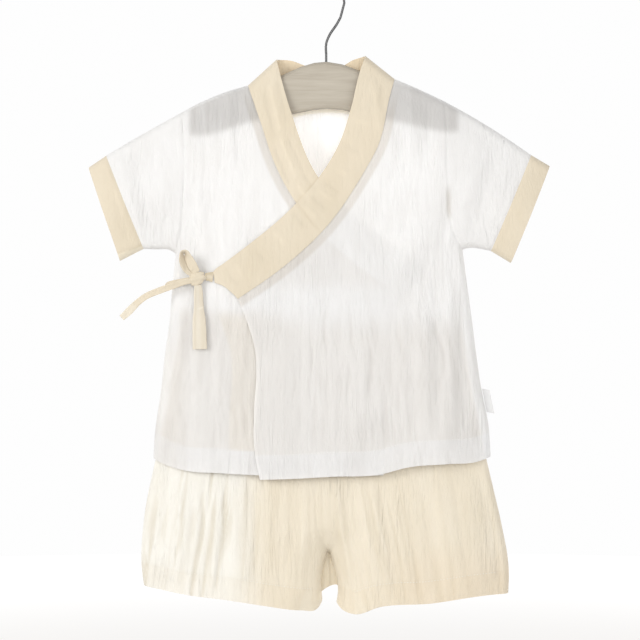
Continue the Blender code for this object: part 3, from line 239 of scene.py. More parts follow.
HANGER = (
    (-139.6, -131, -143), (-138.4, -127.4, -147.6), (-134, -123.4, -151.2), (-124, -118.7, -151.6),
    (-111, -113, -149.6), (-94, -106.2, -144), (-78, -101.6, -138.4), (-60, -95.4, -133.8),
    (-45, -89.5, -130.6), (-25, -80.8, -126.4), (-12, -76.9, -123.7), (0.5, -75.7, -122.7),
    (16, -78.3, -123.8), (33, -84.4, -128), (50, -90.6, -132.6), (68, -96.8, -137.6), (92, -105, -143),
    (108, -112.5, -146.4), (121, -119.4, -148.4), (131, -124.6, -147.6), (134.8, -128.2, -144.8),
    (135.8, -131.6, -141.4),
)

# Creases that show, as soft troughs and ridges: x and z of both ends, half width and height
OUTER_CREASES = (
    (-34, -300, -40, -338, 6, -0.6), (-10, -262, -22, -330, 5, 0.7), (18, -250, 12, -322, 6, -0.6),
    (44, -200, 96, -214, 5, 0.6), (30, -222, 92, -238, 5, -0.5), (52, -176, 104, -180, 5, -0.5),
    (58, -250, 104, -262, 6, 0.5), (70, -128, 76, -190, 5, -0.8), (84, -112, 88, -176, 4, 0.8),
    (100, -116, 103, -170, 4, -0.7), (112, -150, 110, -208, 5, 0.8), (76, -318, 78, -446, 3.6, 0.9),
    (86, -322, 88, -452, 3.4, -0.8), (99, -316, 102, -456, 3.8, 0.9), (110, -330, 113, -450, 3.4, -0.8),
    (121, -312, 127, -452, 3.6, 0.9), (133, -326, 139, -446, 3.4, -0.9), (143, -340, 150, -450, 3.4, 0.7),
    (64, -330, 66, -420, 3.6, -0.6), (8, -366, 8, -462, 4, 0.6), (22, -380, 22, -468, 3.4, -0.6),
    (38, -352, 39, -450, 3.8, 0.6), (-14, -372, -15, -462, 4, -0.5), (-56, -372, -57, -470, 4, 0.6),
    (-28, -400, -30, -474, 3.4, 0.5), (52, -376, 53, -468, 3.4, 0.5), (128, -212, 122, -266, 4, 1.2),
)
INNER_CREASES = (
    (-96, -104, -92, -190, 3.6, 1.1), (-112, -116, -109, -166, 4, 0.8), (-124, -122, -120, -180, 5, -0.7),
    (-82, -120, -80, -186, 4, -0.7), (-130, -196, -118, -268, 5, 0.9), (-112, -210, -106, -276, 6, -0.6),
    (-146, -320, -150, -440, 3.6, 0.9), (-136, -326, -140, -452, 3.4, -0.9),
    (-125, -322, -129, -446, 3.6, 0.9),
    (-114, -316, -117, -452, 3.4, -0.8), (-104, -330, -106, -456, 3.8, 0.9),
    (-93, -320, -95, -448, 3.2, -0.8),
    (-83, -326, -84, -452, 3.4, 0.7), (-100, -250, -92, -300, 6, 0.7), (-60, -240, -84, -262, 5, -0.5),
    (-62, -200, -104, -214, 5, 0.4), (-156, -350, -161, -452, 3.2, -0.6),
)
BACK_CREASES = (
    (-108, -112, -104, -190, 5, 0.8), (-70, -116, -66, -200, 6, -0.7), (62, -112, 64, -196, 6, 0.7),
    (98, -112, 94, -190, 5, -0.8), (-30, -150, -34, -240, 7, 0.6), (20, -160, 16, -250, 7, -0.6),
    (-140, -330, -148, -460, 4, 0.9), (-122, -340, -127, -462, 4, -0.8), (-100, -326, -103, -450, 5, 0.8),
    (-80, -350, -82, -466, 4, -0.7), (-44, -340, -46, -458, 5, 0.7), (-22, -360, -22, -466, 4, -0.6),
    (0, -336, 2, -452, 5, 0.7), (34, -352, 36, -462, 4, -0.6), (56, -330, 60, -456, 5, 0.8),
    (80, -346, 84, -462, 4, -0.8), (100, -330, 106, -450, 4, 0.8), (132, -340, 142, -456, 4, -0.9),
    (-60, -220, -10, -232, 6, 0.5), (30, -214, 84, -228, 6, -0.5), (-96, -262, -50, -276, 6, -0.5),
)
SHORTS_FRONT_CREASES = (
    (-166, -492, -172, -596, 3.4, 1.2), (-156, -486, -161, -600, 3.2, -1.1),
    (-142, -500, -146, -600, 3.4, 1.0),
    (-132, -486, -135, -590, 3, -1.0), (-110, -492, -113, -604, 3.4, 1.1), (-100, -500, -101, -606, 3, -1.0),
    (-82, -488, -80, -596, 3.4, 0.9), (-72, -496, -70, -606, 3.2, -0.8), (-58, -490, -57, -590, 3.6, 0.6),
    (-46, -500, -46, -604, 3.4, -0.6), (-22, -520, -24, -614, 3.4, 0.6), (8, -500, 24, -600, 3, 1.0),
    (16, -492, 34, -608, 3, -1.0), (34, -488, 50, -610, 3, 1.0), (54, -496, 70, -606, 3, -0.9),
    (66, -488, 82, -600, 3.4, 0.8), (80, -500, 94, -608, 3.4, -0.7), (110, -494, 124, -604, 3.6, 0.7),
    (126, -490, 141, -596, 3.4, -0.8), (150, -500, 166, -600, 3.2, 0.8), (-64, -548, -30, -556, 5, 0.5),
    (56, -530, 110, -548, 5, 0.5), (70, -560, 120, -572, 5, -0.4),
)
SHORTS_BACK_CREASES = (
    (-158, -490, -164, -598, 3.6, 1.0), (-144, -486, -150, -600, 3.4, -1.0),
    (-112, -492, -118, -604, 3.6, 1.0),
    (-98, -498, -102, -606, 3.4, -0.9), (-66, -490, -70, -608, 3.6, 0.8), (-50, -496, -52, -606, 3.4, -0.7),
    (14, -500, 22, -606, 3.4, 0.9), (26, -490, 36, -612, 3.4, -0.9), (60, -492, 72, -610, 3.6, 0.9),
    (104, -488, 118, -606, 3.6, -0.9), (120, -494, 136, -600, 3.4, 0.8), (148, -492, 164, -598, 3.6, -0.9),
    (-20, -520, -22, -612, 3.4, 0.7), (86, -520, 96, -606, 3.4, 0.5),
)
SLEEVE_CREASES = (
    (-206, -168, -184, -250, 4, 0.7), (-192, -160, -176, -246, 5, -0.7), (-168, -150, -160, -240, 5, 0.6),
    (-214, -200, -196, -262, 3.6, -0.6), (-156, -220, -166, -262, 4, -0.8), (150, -146, 140, -226, 5, 0.6),
    (166, -156, 152, -240, 5, -0.7), (184, -166, 164, -246, 4, 0.7), (196, -176, 178, -256, 3.6, -0.6),
    (140, -214, 150, -258, 4, -0.8), (132, -150, 130, -210, 4, -0.6),
)


def run_of(line):
    """Distance along a polyline at each of its points."""
    return np.concatenate([[0.0], np.cumsum(np.linalg.norm(np.diff(line, axis=0), axis=1))])


def length_of(line):
    return run_of(line)[-1]


def along(line, distances):
    """Points of a polyline at these distances from its start."""
    run = run_of(line)
    return np.stack([np.interp(distances, run, line[:, axis]) for axis in range(line.shape[1])], axis=1)


def at_shares(line, share):
    """Points of a polyline at these shares of its length."""
    return along(line, share * length_of(line))


def offset_line(points, distance):
    """Points moved sideways in the plane, to the left of their own direction."""
    step = np.gradient(points, axis=0)
    step /= np.linalg.norm(step, axis=1)[:, None]
    return points + distance * np.stack([-step[:, 1], step[:, 0]], axis=1)


def joined(*lines):
    """One polyline out of several, each going on where the last one ends."""
    return np.vstack([lines[0]] + [line[1:] for line in lines[1:]])


known = {}
POINTS_AT_ONCE = 4000
NO_LENGTH = 1e-12


def nearest(points, line):
    """Distance of each point from a polyline, and 1 or -1 for its left or right side.

    Each pair of points and line is worked out once.
    """
    key = (hash(points.tobytes()), hash(line.tobytes()))
    if key in known:
        return known[key]
    start, step = line[:-1], np.diff(line, axis=0)
    square = np.maximum((step**2).sum(axis=1), NO_LENGTH)
    distances, sides = [], []
    for part in np.array_split(points, len(points) // POINTS_AT_ONCE + 1):
        toward = part[:, None, :] - start[None]
        share = np.clip((toward * step[None]).sum(axis=2) / square, 0.0, 1.0)
        gap = np.linalg.norm(toward - share[..., None] * step[None], axis=2)
        rows, best = np.arange(len(part)), gap.argmin(axis=1)
        turn = step[best, 0] * toward[rows, best, 1] - step[best, 1] * toward[rows, best, 0]
        distances.append(gap[rows, best])
        sides.append(np.sign(turn))
    known[key] = np.concatenate(distances), np.concatenate(sides)
    return known[key]


def distance_to(points, line):
    """Shortest distance of each point from a polyline."""
    return nearest(points, line)[0].copy()


def side_of(points, line):
    """Distance from a polyline, above zero to the left of its direction."""
    distance, side = nearest(points, line)
    return distance * side


def ease(value):
    """Smooth step from 0 to 1."""
    value = np.clip(value, 0.0, 1.0)
    return value * value * (3.0 - 2.0 * value)


def bell(distance, half_width):
    """Soft bump of height 1 round distance 0."""
    return np.exp(-((distance / half_width) ** 2))


def below(points, z, run):
    """Eases from 0 to 1 over this run, down from this height."""
    return ease((z - points[:, 1]) / run)


def above(points, z, run):
    """Eases from 0 to 1 over this run, up from this height."""
    return ease((points[:, 1] - z) / run)


def rounding(distance, radius):
    """Height of a quarter circle of this radius, this far in from its edge."""
    return np.sqrt(radius**2 - (radius - np.clip(distance, 0.0, radius)) ** 2)


def swell_at(table, place):
    """Value of a table of places and values."""
    return np.interp(place, *np.array(table, float).T)


def fold_height(table, points, end_run=FOLD_END_RUN):
    """Sum of the soft folds at each point."""
    total = np.zeros(len(points))
    for x_top, z_top, x_low, z_low, half_width, height in table:
        top = np.array([x_top, z_top], float)
        run = np.array([x_low, z_low], float) - top
        length = np.linalg.norm(run)
        run /= length
        toward = points - top
        down = toward @ run
        across = toward @ np.array([-run[1], run[0]])
        ends = ease(down / end_run) * ease((length - down) / end_run)
        total += height * ends * bell(across, half_width)
    return total


RIGHT_UPPER = joined(right_fold[::-1], right_shoulder, right_sleeve_top, right_cuff_top)
LEFT_UPPER = joined(left_fold[::-1], left_shoulder, left_sleeve_top, left_cuff_top)
RIGHT_LOWER = joined(right_cuff_under[::-1], right_sleeve_under[::-1], right_side)
LEFT_LOWER = joined(left_cuff_under[::-1], left_sleeve_under[::-1], left_side)


# Uneven cloth: smooth noise from small tables of fixed random numbers
NOISE_SIZE = 128


def noise(u, v, seed):
    """Smooth noise from 0 to 1 with a cell of 1 in both directions."""
    table = np.random.RandomState(seed).rand(NOISE_SIZE, NOISE_SIZE)
    iu, iv = np.floor(u).astype(int), np.floor(v).astype(int)
    fu, fv = ease(u - iu), ease(v - iv)
    iu, iv = iu % NOISE_SIZE, iv % NOISE_SIZE
    ju, jv = (iu + 1) % NOISE_SIZE, (iv + 1) % NOISE_SIZE
    low = table[iu, iv] * (1.0 - fu) + table[ju, iv] * fu
    high = table[iu, jv] * (1.0 - fu) + table[ju, jv] * fu
    return low * (1.0 - fv) + high * fv


SWAY_CELL, STRENGTH_CELL = (46.0, 34.0), (38.0, 62.0)
SMALL_ACROSS, SMALL_LENGTHWISE = 0.56, 0.6


def ridges(u, v, seed):
    return 1.0 - np.abs(2.0 * noise(u, v, seed) - 1.0)


def crinkle(u, v, seed, across, lengthwise=44.0, swing=9.0):
    """Uneven ridges that run along v, from about -0.5 to 0.5, broad ones and small ones."""
    sway = swing * noise(u / SWAY_CELL[0], v / SWAY_CELL[1], seed + 1)
    broad = ridges((u + sway) / across, v / lengthwise, seed + 2)
    small = ridges((u - sway) / (SMALL_ACROSS * across), v / (SMALL_LENGTHWISE * lengthwise), seed + 3)
    strength = 0.45 + 1.1 * noise(u / STRENGTH_CELL[0], v / STRENGTH_CELL[1], seed + 4)
    return (0.68 * broad + 0.32 * small - 0.5) * strength


# Crinkle of the top: it widens down the body, leans with the sleeves, is strong where the shorts
# hang behind it and weak on the outer front's free half. A zone is a height and the run of its edge.
TOP_CELL = 4.8
FLARE_START, FLARE = -267.0, 0.0007
BODY_MIDDLE, BODY_HALF, SLEEVE_RUN = -8.0, 128.0, 30.0
SLEEVE_START, SLEEVE_END, SLEEVE_MIDDLE = (-110.0, 40.0), (-290.0, 30.0), -200.0
SLEEVE_LEAN = 0.32
LOW_ZONE, FREE_ZONE = (-280.0, 70.0), (-290.0, 40.0)
FREE_START, FREE_RUN = -14.0, 22.0
BODY_STRENGTH, SLEEVE_LOSS, LOW_GAIN, FREE_LOSS = 0.42, 0.22, 0.66, 0.6


def top_crinkle(points, seed):
    x, z = points.T
    flare = 1.0 + FLARE * np.clip(FLARE_START - z, 0.0, None)
    sleeve = ease((np.abs(x - BODY_MIDDLE) - BODY_HALF) / SLEEVE_RUN)
    sleeve *= below(points, *SLEEVE_START) * above(points, *SLEEVE_END)
    lean = sleeve * SLEEVE_LEAN * np.sign(x) * (z - SLEEVE_MIDDLE)
    strength = BODY_STRENGTH - SLEEVE_LOSS * sleeve + LOW_GAIN * below(points, *LOW_ZONE)
    if seed == OUTER_SEED:
        strength *= 1.0 - FREE_LOSS * ease((FREE_START - x) / FREE_RUN) * below(points, *FREE_ZONE)
    return strength * crinkle(x / flare - lean, z, seed, TOP_CELL)


SHORTS_TOP = -480.0
SHORTS_CELL, SHORTS_SWAY = (5.0, 110.0), 4.0
FRONT_SHORTS_SEED, BACK_SHORTS_SEED = 53, 71
SHORTS_LEAN = ((-190.0, -0.16), (-120.0, -0.12), (-40.0, -0.02), (2.0, 0.05), (60.0, 0.22), (190.0, 0.08))
SHORTS_CRINKLE = (
    (-190.0, 2.3), (-88.0, 2.3), (-56.0, 0.7), (0.0, 0.45), (30.0, 1.3), (80.0, 1.2), (120.0, 0.6),
    (190.0, 0.7),
)


def shorts_crinkle(points, seed):
    """Crinkle that leans with the legs, strongest where the cloth is least taut."""
    x, z = points.T
    lean = swell_at(SHORTS_LEAN, x) * (SHORTS_TOP - z)
    return swell_at(SHORTS_CRINKLE, x) * crinkle(x - lean, z, seed, *SHORTS_CELL, SHORTS_SWAY)


def top_edge_distance(points):
    lines = (RIGHT_UPPER, LEFT_UPPER, RIGHT_LOWER, LEFT_LOWER)
    return np.min([distance_to(points, line) for line in lines], axis=0)


def top_depth(points, folds, inset, lifted=False):
    """Half depth of the top's outer face, or with an inset its inner face, at each point."""
    right_up, left_up = distance_to(points, RIGHT_UPPER), distance_to(points, LEFT_UPPER)
    right_low, left_low = distance_to(points, RIGHT_LOWER), distance_to(points, LEFT_LOWER)
    upper, lower = np.minimum(right_up, left_up), np.minimum(right_low, left_low)
    edge = np.minimum(upper, lower)
    depth = rounding(edge - inset, TOP_EDGE_RADIUS - inset)
    swell = ease(upper / TOP_SWELL_RUN) * ease(lower / TOP_SWELL_RUN)
    depth += swell_at(TOP_SWELL, points[:, 1]) * swell
    depth += fold_height(folds, points) * ease(edge / FOLD_SIDE_RUN)
    if lifted:
        depth += OVERLAP_LIFT * ease(np.minimum(left_up, left_low) / LIFT_RUN)
    return depth


def groove(points, line, depth, half_width):
    """Soft trough along a line."""
    return -depth * bell(distance_to(points, line), half_width)


# Hems are turned up and stitched; the legs' stitches stop where their hems round into the inseam
TOP_HEM_WIDTH = 24.0
LEG_HEM_WIDTH = 22.0
LEG_STITCH_END = -CURVE_STEPS
outer_stitch, inner_stitch = offset_line(outer_hem, TOP_HEM_WIDTH), offset_line(inner_hem, TOP_HEM_WIDTH)
back_stitch = offset_line(back_hem, TOP_HEM_WIDTH)
right_leg_stitch = offset_line(right_leg[:LEG_STITCH_END], LEG_HEM_WIDTH)
left_leg_stitch = offset_line(left_leg[:LEG_STITCH_END], -LEG_HEM_WIDTH)
SEAM_DIP, SEAM_HALF = 0.7, 1.5
STITCH_DIP, STITCH_HALF = 0.32, 1.1
CREASE_END_RUN = 14.0
DETAIL_EDGE_RUN = 6.0
SEAM_EDGE_RUN = 3.0


def top_detail(points, creases, seams, stitch, seed):
    """Creases, crinkle and seams of the top, beyond the folds of its solid."""
    detail = fold_height(creases + SLEEVE_CREASES, points, CREASE_END_RUN) + top_crinkle(points, seed)
    edge = top_edge_distance(points)
    detail *= ease(edge / DETAIL_EDGE_RUN)
    for seam in seams:
        detail += groove(points, seam, SEAM_DIP, SEAM_HALF) * ease(edge / SEAM_EDGE_RUN)
    return detail + groove(points, stitch, STITCH_DIP, STITCH_HALF) * ease(edge / SEAM_EDGE_RUN)


RIGHT_CUFF_SEAM = smooth_line((right_cuff_top[0], right_cuff_under[0]))
LEFT_CUFF_SEAM = smooth_line((left_cuff_top[0], left_cuff_under[0]))
OUTER_SEED, INNER_SEED, BACK_SEED = 11, 23, 37


def top_face(side, folds, creases, seam, stitch, seed, lifted=False):
    """Depth function of a layer of the top, with side -1 at the front; plain leaves out its detail."""
    seams = (right_armhole, left_armhole, RIGHT_CUFF_SEAM, LEFT_CUFF_SEAM, seam)

    def face(points, inset=0.0, plain=False):
        depth = top_depth(points, folds, inset, lifted)
        if not plain:
            depth += top_detail(points, creases, seams, stitch, seed)
        return side * depth

    return face


outer_face = top_face(-1.0, OUTER_FOLDS, OUTER_CREASES, outer_seam, outer_stitch, OUTER_SEED, lifted=True)
inner_face = top_face(-1.0, INNER_FOLDS, INNER_CREASES, inner_seam, inner_stitch, INNER_SEED)
back_face = top_face(1.0, BACK_FOLDS, BACK_CREASES, back_seam, back_stitch, BACK_SEED)


JOIN_RUN = 1.5


def seat_distance(points):
    """Distance from the inseams, and 0 between them, where the back's cloth joins the legs."""
    x, z = points[:, 0], points[:, 1]
    first = np.interp(-z, -right_in[:, 1], right_in[:, 0])
    last = np.interp(-z, -left_in[:, 1], left_in[:, 0])
    between = (z < right_in[0, 1]) & (x > first) & (x < last)
    distance = np.minimum(distance_to(points, right_in), distance_to(points, left_in))
    return np.where(between, 0.0, distance), np.where(between, ease(distance / JOIN_RUN), 0.0)


def shorts_depth(points, folds, creases, inset, seed=0, waistband=False):
    """Half depth of the shorts, pressed flat where the top lies over them."""
    out = np.minimum(distance_to(points, right_out), distance_to(points, left_out))
    seat, joining = seat_distance(points)
    edge = out if waistband else np.minimum(out, seat)
    depth = rounding(edge - inset, SHORTS_EDGE_RADIUS - inset) + joining * (CLOTH - inset)
    swell = swell_at(SHORTS_SWELL, points[:, 1]) * ease(out / SHORTS_SWELL_RUN)
    depth += swell if waistband else swell * ease(seat / SEAT_SWELL_RUN)
    depth += fold_height(folds, points) * ease(edge / FOLD_SIDE_RUN)
    if not waistband:
        detail = fold_height(creases, points, CREASE_END_RUN) + shorts_crinkle(points, seed)
        depth += detail * ease(edge / DETAIL_EDGE_RUN) + groove(points, centre_seam, SEAM_DIP, SEAM_HALF)
        for stitch in (right_leg_stitch, left_leg_stitch):
            depth += groove(points, stitch, STITCH_DIP, STITCH_HALF)
    room = np.minimum(top_depth(points, INNER_FOLDS, CLOTH), top_depth(points, BACK_FOLDS, CLOTH))
    inside = points[:, 1] > right_side[-1, 1] - COVER_MARGIN
    limit = np.maximum(room - COVER_GAP - inset, 0.0)
    return np.where(inside, np.minimum(depth, limit), depth)


def shorts_middle(points):
    """How far back the shorts' seams lie at the inseam."""
    return SEAT_DROP * np.exp(-seat_distance(points)[0] / SEAT_DROP_RUN)


def shorts_face(side, folds, creases, seed):
    """Depth function of the shorts' front, with side -1, or of their back."""

    def face(points, inset=0.0):
        return shorts_middle(points) + side * shorts_depth(points, folds, creases, inset, seed)

    return face


shorts_front = shorts_face(-1.0, SHORTS_FRONT_FOLDS, SHORTS_FRONT_CREASES, FRONT_SHORTS_SEED)
shorts_back = shorts_face(1.0, SHORTS_BACK_FOLDS, SHORTS_BACK_CREASES, BACK_SHORTS_SEED)


# Plane grids, as on the solids but finer
FINE_ANGLES = np.radians(np.arange(0.0, 91.0, 15.0))


def stations(length, count, both=False, radius=TOP_EDGE_RADIUS, factor=1.0):
    """Distances along a length, close together at a rounded start, and at its end if both."""
    near = factor * radius * (1.0 - np.cos(FINE_ANGLES))
    if not both:
        return np.concatenate([near, np.linspace(near[-1], length, count - len(near) + 1)[1:]])
    far = length - near[::-1]
    middle = np.linspace(near[-1], far[0], count - 2 * len(near) + 2)[1:-1]
    return np.concatenate([near, middle, far])


def seen(grid):
    """The x and z of a grid's points, one after another."""
    return grid[..., [0, 2]].reshape(-1, 2)


def shares(points):
    run = run_of(points)
    return run / run[-1]


def patch(top, low, left, right):
    """Grid of points between four edges: top and low have its columns, left and right its rows."""
    top_share, low_share = shares(top), shares(low)
    top = top + (1.0 - top_share)[:, None] * (left[0] - top[0]) + top_share[:, None] * (right[0] - top[-1])
    low = low + (1.0 - low_share)[:, None] * (left[-1] - low[0]) + low_share[:, None] * (right[-1] - low[-1])
    middle = 0.5 * (top_share + low_share)[None, :]
    down = (1.0 - middle) * shares(left)[:, None] + middle * shares(right)[:, None]
    across = (1.0 - down) * top_share[None, :] + down * low_share[None, :]
    ruled = (1.0 - across)[..., None] * left[:, None] + across[..., None] * right[:, None]
    top_bend = top - (1.0 - top_share)[:, None] * left[0] - top_share[:, None] * right[0]
    low_bend = low - (1.0 - low_share)[:, None] * left[-1] - low_share[:, None] * right[-1]
    return ruled + (1.0 - down)[..., None] * top_bend[None] + down[..., None] * low_bend[None]


def raise_grid(grid, face, inset=0.0):
    """Grid of x, y, z from a plane grid and a depth function."""
    flat = grid.reshape(-1, 2)
    depth = face(flat, inset)
    return np.stack([flat[:, 0], depth, flat[:, 1]], axis=1).reshape(*grid.shape[:2], 3)


def quads(rows, columns, start, flip, ring_columns=False):
    """Faces of a grid whose points start at this index."""
    around = columns if ring_columns else columns - 1
    r, c = np.meshgrid(np.arange(rows - 1) * columns, np.arange(around), indexing="ij")
    beside = (c + 1) % columns
    face = np.stack([r + c, r + beside, r + columns + beside, r + columns + c], -1).reshape(-1, 4) + start
    return face[:, ::-1] if flip else face


def volume_of(points, faces):
    """Volume inside a closed mesh, above zero where its faces point outwards."""
    total = 0.0
    for sides in {len(face) for face in faces}:
        ring = points[np.array([face for face in faces if len(face) == sides])]
        for i in range(1, sides - 1):
            total += np.einsum("ij,ij->", ring[:, 0], np.cross(ring[:, i], ring[:, i + 1]))
    return total


pieces = {}


def add_object(name, points, faces, finish, tint=None, sharp=55.0):
    """Object from points in millimetres, with its faces turned outwards."""
    points = np.asarray(points, float) * MM
    faces = [tuple(map(int, face)) for face in faces]
    if volume_of(points, faces) < 0.0:
        faces = [face[::-1] for face in faces]
    mesh = bpy.data.meshes.new(name)
    mesh.from_pydata(points.tolist(), [], faces)
    mesh.materials.append(finish)
    mesh.shade_smooth()
    mesh.set_sharp_from_angle(angle=np.radians(sharp))
    # The tint attribute holds painted light and shade, and a few real colours, as factors of the base colour
    layer = mesh.color_attributes.new("tint", "FLOAT_COLOR", "POINT")
    colours = np.ones((len(points), 4), np.float32)
    if tint is not None:
        colours[:, :3] = tint
    layer.data.foreach_set("color", colours.ravel())
    pieces[name] = bpy.data.objects.new(name, mesh)
    bpy.context.scene.collection.objects.link(pieces[name])
    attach(pieces[name], "root")
    return pieces[name]


def add_wall(name, outer, inner, finish, ring=False, tint=None, inner_tint=None):
    """Cloth shell between an outer and an inner grid; ring closes it across its columns."""
    rows, columns = outer.shape[:2]
    count = rows * columns
    faces = [tuple(face) for face in quads(rows, columns, 0, False, ring)]
    faces += [tuple(face) for face in quads(rows, columns, count, True, ring)]
    border = [(0, c) for c in range(columns)]
    if ring:
        last = [(rows - 1, c) for c in range(columns)][::-1]
        loops = [border + border[:1], last + last[:1]]
    else:
        border += [(r, columns - 1) for r in range(1, rows)]
        border += [(rows - 1, c) for c in range(columns - 2, -1, -1)]
        border += [(r, 0) for r in range(rows - 2, -1, -1)]
        loops = [border]
    for loop in loops:
        for (r, c), (to_r, to_c) in zip(loop[:-1], loop[1:]):
            a, b = r * columns + c, to_r * columns + to_c
            faces.append((b, a, a + count, b + count))
    points = np.vstack([outer.reshape(-1, 3), inner.reshape(-1, 3)])
    if tint is not None:
        tint = np.vstack([tint, tint if inner_tint is None else inner_tint])
    return add_object(name, points, faces, finish, tint)


# Materials
def new_material(name, colour, roughness):
    made = bpy.data.materials.new(name)
    made.use_nodes = True
    tree = made.node_tree
    shader = tree.nodes["Principled BSDF"]
    shader.inputs["Base Color"].default_value = (*colour, 1.0)
    shader.inputs["Roughness"].default_value = roughness
    return made, tree, shader


def node(tree, kind, **values):
    """New node whose settings and inputs get these values."""
    made = tree.nodes.new("ShaderNode" + kind)
    for key, value in values.items():
        if hasattr(made, key):
            setattr(made, key, value)
        else:
            made.inputs[key.replace("_", " ")].default_value = value
    return made


def texture(tree, kind, scale, **values):
    """Texture on object coordinates, scaled to cells for each metre."""
    made = node(tree, "Tex" + kind, Scale=1.0, **values)
    mapping = node(tree, "Mapping", Scale=scale)
    tree.links.new(node(tree, "TexCoord").outputs["Object"], mapping.inputs["Vector"])
    tree.links.new(mapping.outputs["Vector"], made.inputs["Vector"])
    return made.outputs["Distance" if kind == "Voronoi" else "Fac"]


def maths(tree, operation, first, second=None):
    """Math node on sockets, or on a socket and a number."""
    made = node(tree, "Math", operation=operation)
    tree.links.new(first, made.inputs[0])
    if isinstance(second, float):
        made.inputs[1].default_value = second
    elif second is not None:
        tree.links.new(second, made.inputs[1])
    return made.outputs[0]


def ramp(tree, source, low, high, low_colour, high_colour):
    """Colour between two stops."""
    made = node(tree, "ValToRGB")
    for stop, place, colour in zip(made.color_ramp.elements, (low, high), (low_colour, high_colour)):
        stop.position = place
        stop.color = (*colour, 1.0)
    tree.links.new(source, made.inputs["Fac"])
    return made.outputs["Color"]


def bump(tree, height, distance, strength, before=None):
    made = node(tree, "Bump", Strength=strength, Distance=distance)
    tree.links.new(height, made.inputs["Height"])
    if before is not None:
        tree.links.new(before, made.inputs["Normal"])
    return made.outputs["Normal"]


# Gauze textures: cells for each metre across and along the cloth, and bump heights in metres
CREPE_CELLS, CREPE_HEIGHT = (330.0, 330.0, 95.0), 0.0011
PUCKER_CELLS, PUCKER_HEIGHT = (210.0, 210.0, 120.0), 0.0008
WEAVE_CELLS, WEAVE_HEIGHT = (310.0, 310.0, 310.0), 0.0001
RIDGE_CELLS, RIDGE_HEIGHT = (165.0, 165.0, 19.0), -0.0045
PATCH_CELLS = (21.0, 21.0, 11.0)
TONE_CELLS = (34.0, 34.0, 17.0)


def gauze(name, colour, shade, crepe, ridge, through):
    """Crinkled cotton gauze: fine crepe along the cloth, a plain weave, ridges and soft stains of tone."""
    made, tree, shader = new_material(name, colour, 0.92)
    for socket, value in (("Specular IOR Level", 0.2), ("Sheen Weight", 0.25), ("Sheen Roughness", 0.55)):
        shader.inputs[socket].default_value = value
    fine = texture(tree, "Noise", CREPE_CELLS, Detail=3.0, Roughness=0.6)
    pucker = texture(tree, "Voronoi", PUCKER_CELLS, feature="SMOOTH_F1")
    warp, weft = [
        texture(tree, "Wave", WEAVE_CELLS, bands_direction=way, Distortion=1.2, Detail=1.0) for way in "XZ"
    ]
    normal = bump(tree, fine, CREPE_HEIGHT, crepe)
    normal = bump(tree, pucker, PUCKER_HEIGHT, 0.45 * crepe, normal)
    normal = bump(tree, maths(tree, "ADD", warp, weft), WEAVE_HEIGHT, 0.5, normal)
    long = texture(tree, "Noise", RIDGE_CELLS, Detail=2.0, Roughness=0.5, Distortion=0.3)
    line = maths(tree, "ABSOLUTE", maths(tree, "SUBTRACT", long, 0.5))
    share = node(tree, "MapRange", From_Min=0.34, From_Max=0.66, To_Min=0.15)
    tree.links.new(texture(tree, "Noise", PATCH_CELLS, Detail=1.0), share.inputs["Value"])
    height = maths(tree, "MULTIPLY", line, share.outputs["Result"])
    normal = bump(tree, height, RIDGE_HEIGHT, ridge, normal)
    tree.links.new(normal, shader.inputs["Normal"])
    tone = texture(tree, "Noise", TONE_CELLS, Detail=3.0, Roughness=0.55)
    stained = ramp(tree, tone, 0.3, 0.7, [c * s for c, s in zip(colour, shade)], colour)
    # The tint attribute, mostly painted light and shade, multiplies the stained colour
    tint = node(tree, "Attribute", attribute_name="tint")
    mix = node(tree, "Mix", data_type="RGBA", blend_type="MULTIPLY")
    mix.inputs["Factor"].default_value = 1.0
    tree.links.new(stained, mix.inputs[6])
    tree.links.new(tint.outputs["Color"], mix.inputs[7])
    tree.links.new(mix.outputs[2], shader.inputs["Base Color"])
    glow, both = node(tree, "BsdfTranslucent"), node(tree, "MixShader")
    both.inputs[0].default_value = through
    tree.links.new(mix.outputs[2], glow.inputs["Color"])
    tree.links.new(normal, glow.inputs["Normal"])
    tree.links.new(shader.outputs[0], both.inputs[1])
    tree.links.new(glow.outputs[0], both.inputs[2])
    tree.links.new(both.outputs[0], tree.nodes["Material Output"].inputs["Surface"])
    return made


WHITE = (0.905, 0.898, 0.888)
CREAM = (0.745, 0.665, 0.53)
PALE = (0.836, 0.764, 0.630)
WHITE_SHADE = (0.975, 0.972, 0.968)
white_gauze = gauze("white_gauze_cloth", WHITE, WHITE_SHADE, 0.5, 0.6, 0.34)
# Gauze with a painted glow, a faint emission that brightens the back's inner face seen in the neck
painted_glow_gauze = gauze("painted_glow_gauze_cloth", WHITE, WHITE_SHADE, 0.5, 0.6, 0.34)
painted_glow_shader = painted_glow_gauze.node_tree.nodes["Principled BSDF"]
painted_glow_shader.inputs["Emission Color"].default_value = (1.0, 0.99, 0.97, 1.0)
painted_glow_shader.inputs["Emission Strength"].default_value = 0.31
cream_trim = gauze("cream_trim_cloth", CREAM, (0.955, 0.945, 0.92), 0.5, 0.35, 0.14)
cream_gauze = gauze("cream_gauze_cloth", PALE, (0.965, 0.955, 0.93), 0.6, 0.9, 0.20)
cream_thread = new_material("cream_thread", (0.86, 0.83, 0.76), 0.7)[0]
white_thread = new_material("white_thread", (0.93, 0.92, 0.90), 0.7)[0]


def pale_wood():
    """Greyish beech with fine grain along the arms."""
    made, tree, shader = new_material("pale_wood_finish", (0.45, 0.40, 0.325), 0.5)
    grain = texture(tree, "Noise", (16.0, 240.0, 240.0), Detail=6.0, Roughness=0.62, Distortion=0.6)
    colour = ramp(tree, grain, 0.34, 0.66, (0.375, 0.332, 0.267), (0.445, 0.402, 0.33))
    tree.links.new(colour, shader.inputs["Base Color"])
    tree.links.new(bump(tree, grain, 0.0004, 0.25), shader.inputs["Normal"])
    return made


